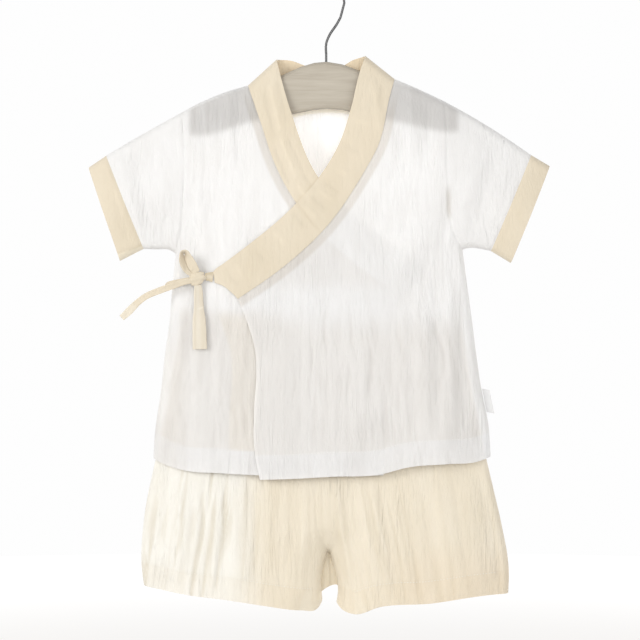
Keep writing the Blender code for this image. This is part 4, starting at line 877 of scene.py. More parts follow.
def hook_steel():
    """Dark plated wire with fine drawing marks."""
    made, tree, shader = new_material("hook_steel_finish", (0.10, 0.10, 0.10), 0.34)
    shader.inputs["Metallic"].default_value = 1.0
    marks = texture(tree, "Noise", (900.0, 900.0, 160.0), Detail=3.0)
    tree.links.new(bump(tree, marks, 0.0002, 0.2), shader.inputs["Normal"])
    return made


def label_tape():
    """Bare woven tape."""
    made, tree, shader = new_material("label_tape_finish", (0.73, 0.727, 0.72), 0.75)
    weave = texture(tree, "Wave", (700.0, 700.0, 700.0), bands_direction="Z", Distortion=0.4)
    tree.links.new(bump(tree, weave, 0.0002, 0.4), shader.inputs["Normal"])
    return made


def dress(name, finish):
    """A CAD node that is kept gets its finish."""
    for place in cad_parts[name].material_slots:
        place.material = finish


dress("hanger", pale_wood())
dress("hanger_hook", hook_steel())


# Painted shade of what shows through the gauze, as factors of its colour: wood, a second layer or the shorts
# behind it
# Then painted light and shade of creases, edges, hems, folds, sides and ties, and the real cream of a seam
# allowance
WOOD_SHADE = (0.768, 0.756, 0.743)
SEAM_SHADE = (0.905, 0.88, 0.845)
INNER_SEAM_SHADE = (0.887, 0.862, 0.828)
SHORTS_SHADE = (0.955, 0.940, 0.920)
LAYER_SHADE = (0.965, 0.956, 0.946)
EDGE_SHADE = (0.985, 0.968, 0.935)
EDGE_LIGHT = (1.06, 1.06, 1.06)
SLIT_SHADE = (0.86, 0.84, 0.81)
SIDE_SHADE = (0.972, 0.962, 0.945)
HEM_LIGHT = (1.0, 1.005, 1.015)
INSIDE_PAINTED_LIGHT = (1.07, 1.08, 1.10)
ALLOWANCE_CREAM = (0.86, 0.79, 0.64)
BAND_LIGHT = (1.2, 1.15, 1.08)
PRESS_SHADE = (0.93, 0.915, 0.89)
LIT_LIGHT = (1.035, 1.095, 1.215)
LEG_SHADE = (0.98, 0.96, 0.94)
STITCH_SHADE = (0.965, 0.955, 0.94)
LEG_HEM_SHADE = (0.985, 0.975, 0.96)
JOIN_SHADE = (0.95, 0.935, 0.90)
SEAT_LIGHT = (1.05, 1.055, 1.06)
ROOT_SHADE = (0.86, 0.83, 0.76)
# Painted shade in the crinkle's troughs and painted light on its ridges: the heights they clip to and their
# strength in each channel
DEEPEST, HIGHEST = -0.5, 0.25
TOP_CREASE_SHADE = (0.09, 0.10, 0.11)
SHORTS_CREASE_SHADE = (0.13, 0.15, 0.20)
LIT_CREASE_SHADE = (0.05, 0.07, 0.10)


def plain_tint(points):
    return np.ones((len(points), 3))


def painted_crease_shade(tint, height, strength):
    """Painted shade in the crinkle's troughs, a little darker and warmer than its ridges, which get a little
    painted light.
    """
    return tint * (1.0 + np.clip(height, DEEPEST, HIGHEST)[:, None] * np.array(strength))


def blended(tint, shade, share):
    return tint * (1.0 - share[:, None] * (1.0 - np.array(shade)))


# Painted shade of the hanger behind the cloth: soft below and at both ends, and streaky
WOOD_TOP_RUN, WOOD_LOW_RUN, WOOD_END_RUN = 4.0, 9.0, 8.0
WOOD_STREAKS, WOOD_CELL, WOOD_SEED = 0.28, (9.0, 30.0), 91


def wood_share(points):
    """Share of the cloth that has the hanger's arms close behind it, where the hanger's shade is painted."""
    x, z = points.T
    across, upper, lower = np.array(HANGER, float).T
    inside = ease((np.interp(x, across, upper) - z) / WOOD_TOP_RUN + 0.5)
    inside *= ease((z - np.interp(x, across, lower)) / WOOD_LOW_RUN + 0.35)
    inside *= ease((x - across[0]) / WOOD_END_RUN) * ease((across[-1] - x) / WOOD_END_RUN)
    streak = 1.0 - noise(x / WOOD_CELL[0], z / WOOD_CELL[1], WOOD_SEED)
    return inside * (1.0 - WOOD_STREAKS * streak)


# Painted shade of the shorts behind the top; their waist shows as an uneven line, sharper at the wearer's
# right
WAIST_LINE, WAIST_UNEVEN, WAIST_CELL, WAIST_SEED = -320.0, 3.0, (12.0, 20.0), 93
WAIST_SHARP_RUN, WAIST_SOFT_RUN, WAIST_SOFT_FROM, WAIST_SOFT_OVER = 14.0, 26.0, -90.0, 90.0
OUTSEAM_RUN = 6.0


def shorts_share(points):
    """Share of the cloth that has the shorts behind it, where their shade is painted."""
    x, z = points.T
    uneven = WAIST_UNEVEN * noise(x / WAIST_CELL[0], z / WAIST_CELL[1], WAIST_SEED)
    run = WAIST_SHARP_RUN + WAIST_SOFT_RUN * ease((x - WAIST_SOFT_FROM) / WAIST_SOFT_OVER)
    share = ease((WAIST_LINE - z + uneven) / run)
    share *= ease(side_of(points, right_out) / OUTSEAM_RUN + 0.5)
    return share * ease(-side_of(points, left_out) / OUTSEAM_RUN + 0.5)


# Painted shade of the neckband's seam allowance, seen through the cloth beside it
ALLOWANCE, ALLOWANCE_RUN = 8.5, 3.6
ALLOWANCE_ZONE = (-96.0, 44.0)


def strip_share(points, line, hand):
    """Share of the cloth with a seam's allowance behind it, where its shade is painted, left of the line or
    with hand -1 right.
    """
    gap = hand * side_of(points, line)
    share = below(points, *ALLOWANCE_ZONE) * ease(gap + 0.5)
    return share * ease((ALLOWANCE - gap) / ALLOWANCE_RUN + 0.5)


# Places on the top where light and shade are painted: zones are a height and the run of its edge
HEM_ZONE, HEM_RUN = (-400.0, 20.0), 2.0
SLIT_TOP, SLIT_END, SLIT_HALF = (-196.0, 16.0), (-238.0, 14.0), 2.4
UNDER_TOP, UNDER_END, UNDER_RUN = (-200.0, 30.0), (-310.0, 20.0), 3.0
EDGE_HALF = 1.9
LOW_SIDE_ZONE, LOW_SIDE_START, LOW_SIDE_RUN = (-330.0, 50.0), -134.0, 20.0
BESIDE_ZONE, BESIDE_REACH, BESIDE_RUN = (-322.0, 16.0), 26.0, 3.5


def top_tint(points, kind):
    """Painted light and shade of the outer front, the inner front, the back or a sleeve."""
    seed, stitch = {"outer": (OUTER_SEED, outer_stitch), "inner": (INNER_SEED, inner_stitch)}.get(
        kind, (BACK_SEED, back_stitch)
    )
    tint = painted_crease_shade(plain_tint(points), top_crinkle(points, seed), TOP_CREASE_SHADE)
    # Painted shade of the hanger and of the shorts behind the cloth, and painted light on the doubled hem
    tint = blended(tint, WOOD_SHADE, wood_share(points))
    hem = ease(0.5 - side_of(points, stitch) * np.sign(stitch[-1, 0] - stitch[0, 0]) / HEM_RUN)
    tint = blended(tint, SHORTS_SHADE, shorts_share(points) * (1.0 - 0.4 * hem))
    tint = blended(tint, HEM_LIGHT, hem * below(points, *HEM_ZONE))
    if kind in ("outer", "sleeve"):
        # Painted shade in the armhole's slit
        slit = bell(distance_to(points, left_armhole), SLIT_HALF)
        tint = blended(tint, SLIT_SHADE, slit * below(points, *SLIT_TOP) * above(points, *SLIT_END))
    if kind == "outer":
        # Painted highlight along the free edge, and painted shade of the allowance and of the inner front
        # behind
        tint = blended(tint, EDGE_LIGHT, bell(distance_to(points, outer_free), EDGE_HALF))
        tint = blended(tint, SEAM_SHADE, strip_share(points, outer_seam, 1.0))
        under = ease(-side_of(points, inner_seam) / UNDER_RUN + 0.5)
        tint = blended(tint, LAYER_SHADE, under * below(points, *UNDER_TOP) * above(points, *UNDER_END))
    if kind == "inner":
        # Painted shade of the allowance behind, low at the side, and beside the outer front's free edge
        tint = blended(tint, INNER_SEAM_SHADE, strip_share(points, inner_seam, -1.0))
        low_side = ease((LOW_SIDE_START - points[:, 0]) / LOW_SIDE_RUN) * below(points, *LOW_SIDE_ZONE)
        tint = blended(tint, SIDE_SHADE, low_side)
        beside = ease((BESIDE_REACH - distance_to(points, outer_free)) / BESIDE_RUN)
        tint = blended(tint, EDGE_SHADE, beside * below(points, *BESIDE_ZONE) * (1.0 - hem))
    return tint


# Places on the shorts where light and shade are painted
LIT_START, LIT_RUN = -50.0, 50.0
LEG_STITCH_HALF, LEG_HEM_RUN, LEG_HEM_TOP, LEG_SPLIT = 1.2, 2.0, -560.0, 2.5
SEAT_MIDDLE, SEAT_HALF, SEAT_ZONE = -15.0, 11.0, (-535.0, 30.0)
LOW_LEG_ZONE, LOW_LEG_START, LOW_LEG_RUN = (-545.0, 40.0), 40.0, 60.0


def shorts_tint(points, seed):
    x, z = points.T
    # Painted light, with stronger painted crease shade, on the front's leg at the wearer's right
    lit = ease((LIT_START - x) / LIT_RUN) * (seed == FRONT_SHORTS_SEED)
    height = shorts_crinkle(points, seed)
    tint = painted_crease_shade(plain_tint(points), height, SHORTS_CREASE_SHADE)
    tint = painted_crease_shade(tint, height * lit, LIT_CREASE_SHADE)
    tint = blended(tint, LIT_LIGHT, lit)
    # Painted shade along the leg stitches and on the turned-up hems
    stitch = np.minimum(distance_to(points, right_leg_stitch), distance_to(points, left_leg_stitch))
    tint = blended(tint, STITCH_SHADE, bell(stitch, LEG_STITCH_HALF))
    right_hem, left_hem = side_of(points, right_leg_stitch) < 0.0, side_of(points, left_leg_stitch) > 0.0
    hem = np.where(x > LEG_SPLIT, left_hem, right_hem) * (z < LEG_HEM_TOP)
    tint = blended(tint, LEG_HEM_SHADE, ease(stitch / LEG_HEM_RUN) * hem)
    # Painted shade where the back joins at the inseam, painted light in the seat's middle, painted shade low
    # on the leg at the wearer's left
    tint = blended(tint, JOIN_SHADE, seat_distance(points)[1])
    tint = blended(tint, SEAT_LIGHT, bell(x - SEAT_MIDDLE, SEAT_HALF) * below(points, *SEAT_ZONE))
    return blended(tint, LEG_SHADE, ease((x - LOW_LEG_START) / LOW_LEG_RUN) * below(points, *LOW_LEG_ZONE))


ROWS = 180
ARMHOLE_STATIONS = 72
COLUMNS = 150
BODY_WIDTH = 232.0


NECK_STATIONS = 84
SHOULDER_COLUMNS = 36
NO_DEPTH = 0.01

# How steeply the rounding runs in at the neck and at the band's upper edge on the back
FOLD_LEAN = 0.9
BACK_EDGE_LEAN = 0.65


def edge_points(line, inset, count, lean=1.0, both=True):
    """Points of an edge, set in at its start, and at its end if both, close together at the rounding."""
    length, start = length_of(line), inset / lean
    spaced = stations(length, count, both, factor=1.0 / lean)
    return along(line, start + spaced * (length - (2.0 if both else 1.0) * start) / length)


def body_edge(armhole, side, inset, hand):
    """Armhole and side seam as the outer edge of a body panel."""
    rows = at_shares(side, np.linspace(0.0, 1.0, ROWS - ARMHOLE_STATIONS + 1)[1:])
    return np.vstack([edge_points(armhole, inset, ARMHOLE_STATIONS), offset_line(rows, hand * inset)])


def body_grids(plane_of, face, side):
    """Outer and inner grid of a body panel, each kept on its side of the middle."""
    grids = [raise_grid(plane_of(inset), face, inset) for inset in (0.0, CLOTH)]
    for grid in grids:
        grid[..., 1] = side * np.maximum(side * grid[..., 1], NO_DEPTH)
    return grids


def make_front(name, kind, face, shoulder, armhole, side, seam, free, hem, hand):
    """Front panel; hand is 1 where its side seam is at the wearer's right."""

    def plane(inset):
        cross = edge_points(joined(seam, free), inset, ROWS, FOLD_LEAN, both=False)
        columns = stations(BODY_WIDTH, COLUMNS) / BODY_WIDTH
        top = at_shares(offset_line(shoulder[::-1], -hand * inset), columns)
        return patch(top, at_shares(hem, columns), body_edge(armhole, side, inset, hand), cross)

    grids = body_grids(plane, face, -1.0)
    add_wall(name, *grids, white_gauze, tint=top_tint(seen(grids[0]), kind))


def back_plane(inset):
    neck = edge_points(back_seam, inset, NECK_STATIONS, FOLD_LEAN)
    first = offset_line(right_shoulder[::-1], -inset)
    last = offset_line(left_shoulder[::-1], inset)
    first = along(first, stations(length_of(first), SHOULDER_COLUMNS))
    last = along(last, stations(length_of(last), SHOULDER_COLUMNS))[::-1]
    first = first + shares(first)[:, None] * (neck[0] - first[-1])
    last = last + (1.0 - shares(last))[:, None] * (neck[-1] - last[0])
    top = joined(first, neck, last)
    left = body_edge(right_armhole, right_side, inset, 1.0)
    right = body_edge(left_armhole, left_side, inset, -1.0)
    return patch(top, at_shares(back_hem, shares(top)), left, right)


# The back's inner face, seen in the neck, gets painted light: a lighter tint below an arched cream
# allowance, and a painted glow
NECK_ARCH_TOP, NECK_ARCH_MIDDLE, NECK_ARCH, NECK_ARCH_RUN = -126.0, 4.0, 0.0035, 4.0


def make_back():
    grids = body_grids(back_plane, back_face, 1.0)
    x, z = seen(grids[1]).T
    arch = NECK_ARCH_TOP - NECK_ARCH * (x - NECK_ARCH_MIDDLE) ** 2
    inside = blended(plain_tint(x) * INSIDE_PAINTED_LIGHT, ALLOWANCE_CREAM, ease((z - arch) / NECK_ARCH_RUN + 0.5))
    tint = top_tint(seen(grids[0]), "back")
    back = add_wall("back_cloth", *grids, white_gauze, tint=tint, inner_tint=inside)
    # The inner faces take the gauze with the painted glow
    back.data.materials.append(painted_glow_gauze)
    rows, columns = grids[0].shape[:2]
    count = (rows - 1) * (columns - 1)
    for face in back.data.polygons[count : 2 * count]:
        face.material_index = 1


def tube_plane(start, end, over, under, rows, inset):
    first, last = edge_points(start, inset, ARMHOLE_STATIONS), edge_points(end, inset, ARMHOLE_STATIONS)
    outward = np.linspace(0.0, 1.0, rows)
    return patch(first, last, at_shares(over, outward), at_shares(under, outward))


# Painted light and a painted shade line along the right cuff's lower edge, where the turned cloth folds
FOLD_REACH = 4.4
FOLD_LIGHT, FOLD_LIGHT_RUN = (1.13, 1.16, 1.19), 1.2
FOLD_SHADE, FOLD_SHADE_HALF = (0.86, 0.84, 0.78), 0.7
PUFF_RUN = 4.0


def make_tube(name, start, end, over, under, rows, front, finish, drop=0.0, puff=0.0):
    """Sleeve or cuff: one shell all round; drop lowers the open end's back layer."""
    grids = []
    hand = 1.0 if over[-1, 0] < over[0, 0] else -1.0
    outward = np.linspace(0.0, 1.0, rows)[:, None]
    for inset in (0.0, CLOTH):
        over_line, under_line = offset_line(over, hand * inset), offset_line(under, -hand * inset)
        plane = tube_plane(start, end, over_line, under_line, rows, inset)
        halves = [raise_grid(plane, front, inset), raise_grid(plane, back_face, inset)]
        halves[0][:, [0, -1], 1] = 0.0
        down = np.linspace(0.0, 1.0, plane.shape[1])[None, :] ** 2
        for half, side in zip(halves, (-1.0, 1.0)):
            bulge = np.sin(np.pi * outward) ** 0.6 * ease(np.abs(half[..., 1]) / PUFF_RUN)
            half[..., 1] += side * puff * bulge
            behind = 0.5 + 0.5 * half[..., 1] / CUFF_HALF_DEPTH
            half[..., 2] -= drop * outward * down * behind
        grids.append(np.concatenate([halves[0], halves[1][:, -2:0:-1]], axis=1))
    flat, tint = seen(grids[0]), None
    if finish is white_gauze:
        tint = top_tint(flat, "sleeve")
    # The dropped cuff gets the painted light and shade of its lower edge
    elif drop:
        away = distance_to(flat, under)
        tint = blended(plain_tint(flat), FOLD_LIGHT, ease((FOLD_REACH - away) / FOLD_LIGHT_RUN))
        tint = blended(tint, FOLD_SHADE, bell(away - FOLD_REACH, FOLD_SHADE_HALF))
    add_wall(name, *grids, finish, ring=True, tint=tint)


# Neckband: a row for each section, from its hidden end to its tie
BAND_ACROSS = 26
BAND_ROWS = 150
BAND_THICK = 1.4
BAND_PUFF = 0.8
BAND_CREASES = (
    (-16, -210, 2, -226, 2.4, -0.9), (-10, -203, 10, -217, 2.6, 0.8), (-24, -218, -6, -236, 2.6, 0.8),
    (-4, -196, 16, -208, 2.4, -0.7), (-34, -226, -18, -244, 2.6, -0.7), (8, -182, 26, -192, 2.6, 0.6),
    (16, -160, 38, -168, 3, -0.5), (24, -134, 50, -140, 3, 0.5), (-52, -244, -38, -262, 3, 0.6),
    (-72, -262, -56, -280, 3, -0.5), (-90, -276, -80, -296, 3, 0.6), (46, -92, 54, -150, 3, 0.5),
    (54, -96, 57, -130, 2.4, -0.5), (-100, -284, -84, -302, 2.6, -0.6),
)
INNER_BAND_CREASES = (
    (-56, -96, -44, -150, 2.4, 0.9), (-62, -104, -50, -156, 2.4, -0.8), (-48, -92, -38, -140, 2.2, -0.7),
    (-46, -150, -28, -196, 2.4, 0.8), (-52, -160, -34, -204, 2.4, -0.7), (-38, -150, -20, -192, 2.2, -0.6),
    (-30, -196, -12, -222, 2.6, 0.7), (-24, -186, -10, -208, 2.4, -0.6),
)


BAND_CREASE_END_RUN = 8.0
BAND_CRINKLE, BAND_CELL = 0.34, (5.6, 22.0)
# Strength of the painted shade in the band's creases, and where the painted shade line of the inner band's
# seam runs
BAND_CREASE_SHADE = 0.055
PRESS_TOP, PRESS_END, PRESS_HALF = (-216.0, 4.0), (-252.0, 12.0), 1.1
BAND_FROM_EDGE = 6.0
BAND_TIP_SKIP = 4


def band_detail(points, creases, seed):
    x, z = points.T
    detail = BAND_CRINKLE * crinkle(x, z, seed, *BAND_CELL)
    detail += fold_height(creases, points, BAND_CREASE_END_RUN)
    return detail * ease(top_edge_distance(points) / BAND_FROM_EDGE)


def band_tint(points):
    """Painted shade in the neckband's creases and painted light on their ridges, and painted shade along the
    inner band's seam, pressed through where they cross.
    """
    creases = fold_height(BAND_CREASES + INNER_BAND_CREASES, points, BAND_CREASE_END_RUN)
    tint = plain_tint(points) * (1.0 + BAND_CREASE_SHADE * creases[:, None])
    pressed = bell(distance_to(points, inner_seam), PRESS_HALF) * below(points, *PRESS_TOP)
    return blended(tint, PRESS_SHADE, pressed * above(points, *PRESS_END))


def band_face(face, side, creases, seed):
    """Depth function of the neckband on this layer of the top."""
    return lambda points, inset: face(points, inset, plain=True) + side * band_detail(points, creases, seed)


band_outer = band_face(outer_face, -1.0, BAND_CREASES, 5)
band_inner = band_face(inner_face, -1.0, INNER_BAND_CREASES, 7)
band_back = band_face(back_face, 1.0, (), 9)


def band_grid(inset):
    """Outer or inner face of the band, from the inner front over the back to the tip at the tie."""
    share = np.linspace(0.0, 1.0, BAND_ACROSS + 1)[None, :, None]
    puff = BAND_PUFF * np.sqrt(np.sin(np.pi * share[..., 0]))
    rows = []
    for seam, edge, face, side, lean in (
        (inner_seam, inner_edge, band_inner, -1.0, FOLD_LEAN),
        (back_seam, back_edge, band_back, 1.0, BACK_EDGE_LEAN),
        (outer_seam, outer_edge, band_outer, -1.0, FOLD_LEAN),
    ):
        both = face is band_back
        count = NECK_STATIONS if both else BAND_ROWS
        ends = edge_points(seam, inset, count, FOLD_LEAN, both), edge_points(edge, inset, count, lean, both)
        seam, edge = [line[1:-1] if both else line for line in ends]
        if face is band_inner:
            seam, edge = seam[::-1], edge[::-1]
        grid = raise_grid(seam[:, None] * (1.0 - share) + edge[:, None] * share, face, inset)
        near = ease(top_edge_distance(seen(grid)) / BAND_FROM_EDGE).reshape(grid.shape[:2])
        grid[..., 1] += side * puff * near
        rows.append(grid)
    rows[0][-1, :, 1] = 0.0
    rows[2][0, :, 1] = 0.0
    end = smooth_line([np.concatenate([seam[-1], edge[-1]]), *BAND_END])[BAND_TIP_SKIP::3]
    tip = end[:, None, :2] * (1.0 - share) + end[:, None, 2:] * share
    tip = raise_grid(tip, band_outer, inset)
    tip[..., 1] -= puff
    return np.concatenate(rows + [tip])


def make_neckband():
    outer, inner = band_grid(0.0), band_grid(BAND_THICK)
    tint = band_tint(seen(outer))
    # The band's inner face gets painted light
    add_wall("neckband_cloth", outer, inner, cream_trim, tint=tint, inner_tint=BAND_LIGHT + 0.0 * tint)


# Shorts
LEG_ROWS = 138
INSEAM_ROWS = LEG_ROWS // 4
LEG_COLUMNS = 120
LEG_WIDTH = 176.0
LEG_LAP = 1.3
WAIST_SAG = 1.0
WAIST_ROWS = 12
WAIST_COLUMNS = 150
GATHER_WIDTH = 6.0
GATHER_DEPTH = 0.5
GATHER_RUN = 4.0


def sagging(left, right):
    """Waist line from side to side, a little lower in its middle."""
    return smooth_line([left, 0.5 * (left + right) - [0.0, WAIST_SAG], right])


def make_shorts_panel(name, face, out, inside, leg_hem, hand, side):
    """One quarter of the shorts: hand is 1 at the wearer's right, and side is 1 at the back."""
    grids = []
    for inset in (0.0, CLOTH):
        left = offset_line(along(out, np.linspace(WAISTBAND_HEIGHT, length_of(out), LEG_ROWS)), hand * inset)
        upper = at_shares(centre_seam, np.linspace(0.0, 1.0, LEG_ROWS - INSEAM_ROWS))
        lower = at_shares(inside, np.linspace(0.0, 1.0, INSEAM_ROWS + 1)[1:])
        right = np.vstack([upper, offset_line(lower, -hand * inset)])
        waist = sagging(left[0], right[0])
        columns = stations(LEG_WIDTH, LEG_COLUMNS, radius=SHORTS_EDGE_RADIUS) / LEG_WIDTH
        plane = patch(at_shares(waist, columns), at_shares(leg_hem, columns), left, right)
        grid = raise_grid(plane, face, inset)
        middle = shorts_middle(seen(grid)).reshape(grid.shape[:2])
        grid[..., 1] = middle + side * np.maximum(side * (grid[..., 1] - middle), NO_DEPTH)
        if side > 0.0 and hand > 0.0:
            grid[..., 1] -= LEG_LAP * seat_distance(seen(grid))[1].reshape(grid.shape[:2])
        grids.append(grid)
    seed = FRONT_SHORTS_SEED if side < 0.0 else BACK_SHORTS_SEED
    add_wall(name, *grids, cream_gauze, tint=shorts_tint(seen(grids[0]), seed))


def make_waistband():
    """Elastic casing with even gathers in three rows."""
    grids = []
    bulge = np.sin(np.linspace(0.0, 3.0 * np.pi, WAIST_ROWS))[:, None] ** 2
    for inset in (0.0, CLOTH):
        rows = []
        for drop in np.linspace(0.0, WAISTBAND_HEIGHT, WAIST_ROWS):
            left, right = along(right_out, [drop])[0], along(left_out, [drop])[0]
            line = sagging(left + [inset, 0.0], right - [inset, 0.0])
            spaced = stations(length_of(line), WAIST_COLUMNS, both=True, radius=SHORTS_EDGE_RADIUS)
            rows.append(along(line, spaced))
        plane = np.stack(rows)
        depth = shorts_depth(plane.reshape(-1, 2), (), (), inset, waistband=True).reshape(plane.shape[:2])
        gathers = 0.5 - 0.5 * np.cos(2.0 * np.pi * plane[..., 0] / GATHER_WIDTH)
        depth -= GATHER_DEPTH * gathers * bulge * ease(depth / GATHER_RUN)
        depth[:, [0, -1]] = 0.0
        front = np.stack([plane[..., 0], -depth, plane[..., 1]], axis=2)
        behind = np.stack([plane[..., 0], depth, plane[..., 1]], axis=2)
        grids.append(np.concatenate([front, behind[:, -2:0:-1]], axis=1))
    add_wall("waistband_cloth", *grids, cream_gauze, ring=True)


# Ties: strips folded from cloth, with rounded edges and a soft lengthwise dent
STRIP_SIDES = 24
STRIP_THICK = 1.375
STRIP_WAVE, STRIP_WAVE_CELL = 0.55, (3.2, 13.0)
STRIP_DENT, STRIP_DENT_HALF, STRIP_FLAT = 0.35, 0.16, 0.2
SHARP_ANGLE = 70.0


def strip_section():
    """Points round a flat strip of width 1 and thickness 1."""
    angles = np.linspace(0.0, 2.0 * np.pi, STRIP_SIDES, endpoint=False)
    across = np.sign(np.cos(angles)) * np.abs(np.cos(angles)) ** 0.7 * 0.5
    up = np.sign(np.sin(angles)) * np.abs(np.sin(angles)) ** 0.55 * 0.5
    return across, up


# Painted light and shade of the ties: the down tail lighter, shaded on one half, with a dark edge and a
# bright fold, and the side tail's end lighter
TAIL_LIGHT = (1.05, 1.09, 1.17)
TAIL_SHADE = (0.945, 0.93, 0.90)
TAIL_EDGE = (0.92, 0.905, 0.87)
TAIL_FOLD, TAIL_FOLD_HALF = 0.37, 0.016
TAIL_FOLD_LIGHT = (1.122, 1.140, 1.178)
END_LIGHT, END_START = (1.05, 1.08, 1.13), 0.74


def strip_tint(name, along_share, across_share):
    """Painted light and shade of a tie, by its shares along and across: its dark root, lit end and folds."""
    run, side = np.meshgrid(along_share, -across_share, indexing="ij")
    run, side = run.ravel(), side.ravel()
    tint = plain_tint(run)
    if name == "tie_front_cloth":
        # Painted shade at the edges of the root by the knot
        tint = blended(tint, ROOT_SHADE, ease((np.abs(side) - 0.1) / 0.22))
    if name == "tie_tail_side_cloth":
        tint = blended(tint, END_LIGHT, ease((run - END_START) / 0.08))
    if name == "tie_tail_down_cloth":
        tint = blended(tint * TAIL_LIGHT, TAIL_SHADE, ease((side - 0.08) / 0.12))
        tint = blended(tint, TAIL_EDGE, bell(side + 0.33, 0.07))
        fold = bell(run - TAIL_FOLD + 0.05 * side, TAIL_FOLD_HALF) * ease((side + 0.1) / 0.2)
        tint = blended(tint, TAIL_FOLD_LIGHT, fold)
    return tint


def unit_rows(vectors):
    return vectors / np.linalg.norm(vectors, axis=1)[:, None]


def add_strip(name, sections, seed):
    """Strip through sections of x, y, z, width and turn in degrees."""
    table = np.array(sections, float)
    centres = smooth_line(table[:, :3])
    share, section_share = shares(centres), shares(table[:, :3])
    width = np.interp(share, section_share, table[:, 3])[:, None]
    turn = np.radians(np.interp(share, section_share, table[:, 4]))[:, None]
    heading = unit_rows(np.gradient(centres, axis=0))
    across = unit_rows(np.cross(heading, FRONT_SIDE))
    side = across * np.cos(turn) + np.cross(across, heading) * np.sin(turn)
    normal = np.cross(side, heading)
    rings = []
    for across_share, up_share in zip(*strip_section()):
        place = np.full(len(share), (across_share * 9.0 + 40.0) / STRIP_WAVE_CELL[0])
        wave = STRIP_WAVE * (noise(place, run_of(centres) / STRIP_WAVE_CELL[1], seed) - 0.5)
        dent = STRIP_DENT * bell(across_share, STRIP_DENT_HALF) * (abs(up_share) > STRIP_FLAT)
        lift = up_share * STRIP_THICK - dent * np.sign(up_share) + wave
        rings.append(centres + across_share * width * side + lift[:, None] * normal)
    rings = np.stack(rings, axis=1)
    count, sides = rings.shape[:2]
    faces = [tuple(face) for face in quads(count, sides, 0, False, True)]
    faces.append(tuple(range(sides))[::-1])
    faces.append(tuple((count - 1) * sides + i for i in range(sides)))
    tint = strip_tint(name, share, strip_section()[0])
    add_object(name, rings.reshape(-1, 3), faces, cream_trim, tint, SHARP_ANGLE)


KNOT_ROWS, KNOT_SIDES, KNOT_SEED = 40, 56, 3


def make_knot():
    """Knot of cloth: a rounded body with deep creases between its turns."""
    tilt = np.pi * (np.arange(1, KNOT_ROWS) / KNOT_ROWS)[:, None]
    turn = 2.0 * np.pi * np.arange(KNOT_SIDES)[None, :] / KNOT_SIDES
    x, y, z = np.sin(tilt) * np.cos(turn), np.sin(tilt) * np.sin(turn), np.cos(tilt) + 0.0 * turn
    bands = np.cos(7.0 * z + 1.9 * x + 0.8)
    folds = np.cos(5.0 * x - 6.5 * z)
    uneven = noise(8.0 + 3.0 * x, 8.0 + 3.0 * z, KNOT_SEED) - 0.5
    ripple = 1.0 + 0.085 * bands - 0.05 * np.abs(folds) + 0.07 * uneven
    lean = np.radians(KNOT_TILT)
    axes = np.array([[np.cos(lean), 0.0, np.sin(lean)], BACK_SIDE, [-np.sin(lean), 0.0, np.cos(lean)]])
    shell = KNOT_CENTRE + (ripple[..., None] * np.stack([x, y, z], axis=2) * KNOT_HALF_SIZES) @ axes
    pole = KNOT_HALF_SIZES[2] * axes[2]
    points = np.vstack([shell.reshape(-1, 3), [KNOT_CENTRE + pole], [KNOT_CENTRE - pole]])
    count = (KNOT_ROWS - 1) * KNOT_SIDES
    low = count - KNOT_SIDES
    faces = [tuple(face) for face in quads(KNOT_ROWS - 1, KNOT_SIDES, 0, False, True)]
    for s in range(KNOT_SIDES):
        beside = (s + 1) % KNOT_SIDES
        faces.append((count, beside, s))
        faces.append((count + 1, low + s, low + beside))
    add_object("knot_cloth", points, faces, cream_trim, sharp=SHARP_ANGLE)


# Label: a bare tape folded in two, its cut ends in the side seam
LABEL_TOP = (155.9, -402.5)
LABEL_LOW = (160.7, -426.0)
LABEL_REACH = 7.6
LABEL_DROP = 1.6
LABEL_HALF = 0.5
LABEL_TAPE = 0.32
LABEL_CURL = 0.35
LABEL_ROWS = 20
LABEL_FLAT_STEPS = 8


def make_label():
    grids = []
    turn = np.radians(np.linspace(-90.0, 90.0, 9))
    flat = np.linspace(0.0, LABEL_REACH - LABEL_HALF, LABEL_FLAT_STEPS, endpoint=False)
    for half in (LABEL_HALF, LABEL_HALF - LABEL_TAPE):
        reach = np.concatenate([flat, LABEL_REACH - LABEL_HALF + half * np.cos(turn), flat[::-1]])
        straight = np.full(LABEL_FLAT_STEPS, half)
        side = np.concatenate([-straight, half * np.sin(turn), straight])
        rows = []
        for share in np.linspace(0.0, 1.0, LABEL_ROWS):
            spot = np.array(LABEL_TOP) * (1.0 - share) + np.array(LABEL_LOW) * share
            curl = LABEL_CURL * (reach / LABEL_REACH) ** 2 * np.sin(3.3 * share + 0.4)
            down = spot[1] - reach / LABEL_REACH * LABEL_DROP
            rows.append(np.stack([spot[0] + reach, side - curl, down], axis=1))
        grids.append(np.stack(rows))
    add_wall("label_cloth", *grids, label_tape())


# Stitches: short threads that dip into the cloth at both ends
STITCH_RUN = 3.1
STITCH_LENGTH = 2.3
STITCH_PLACES = (0.0, 0.2, 0.5, 0.8, 1.0)
STITCH_LIFTS = (-0.35, 0.05, 0.16, 0.05, -0.35)
THREAD_RADIUS = 0.22
THREAD_SIDES = 5


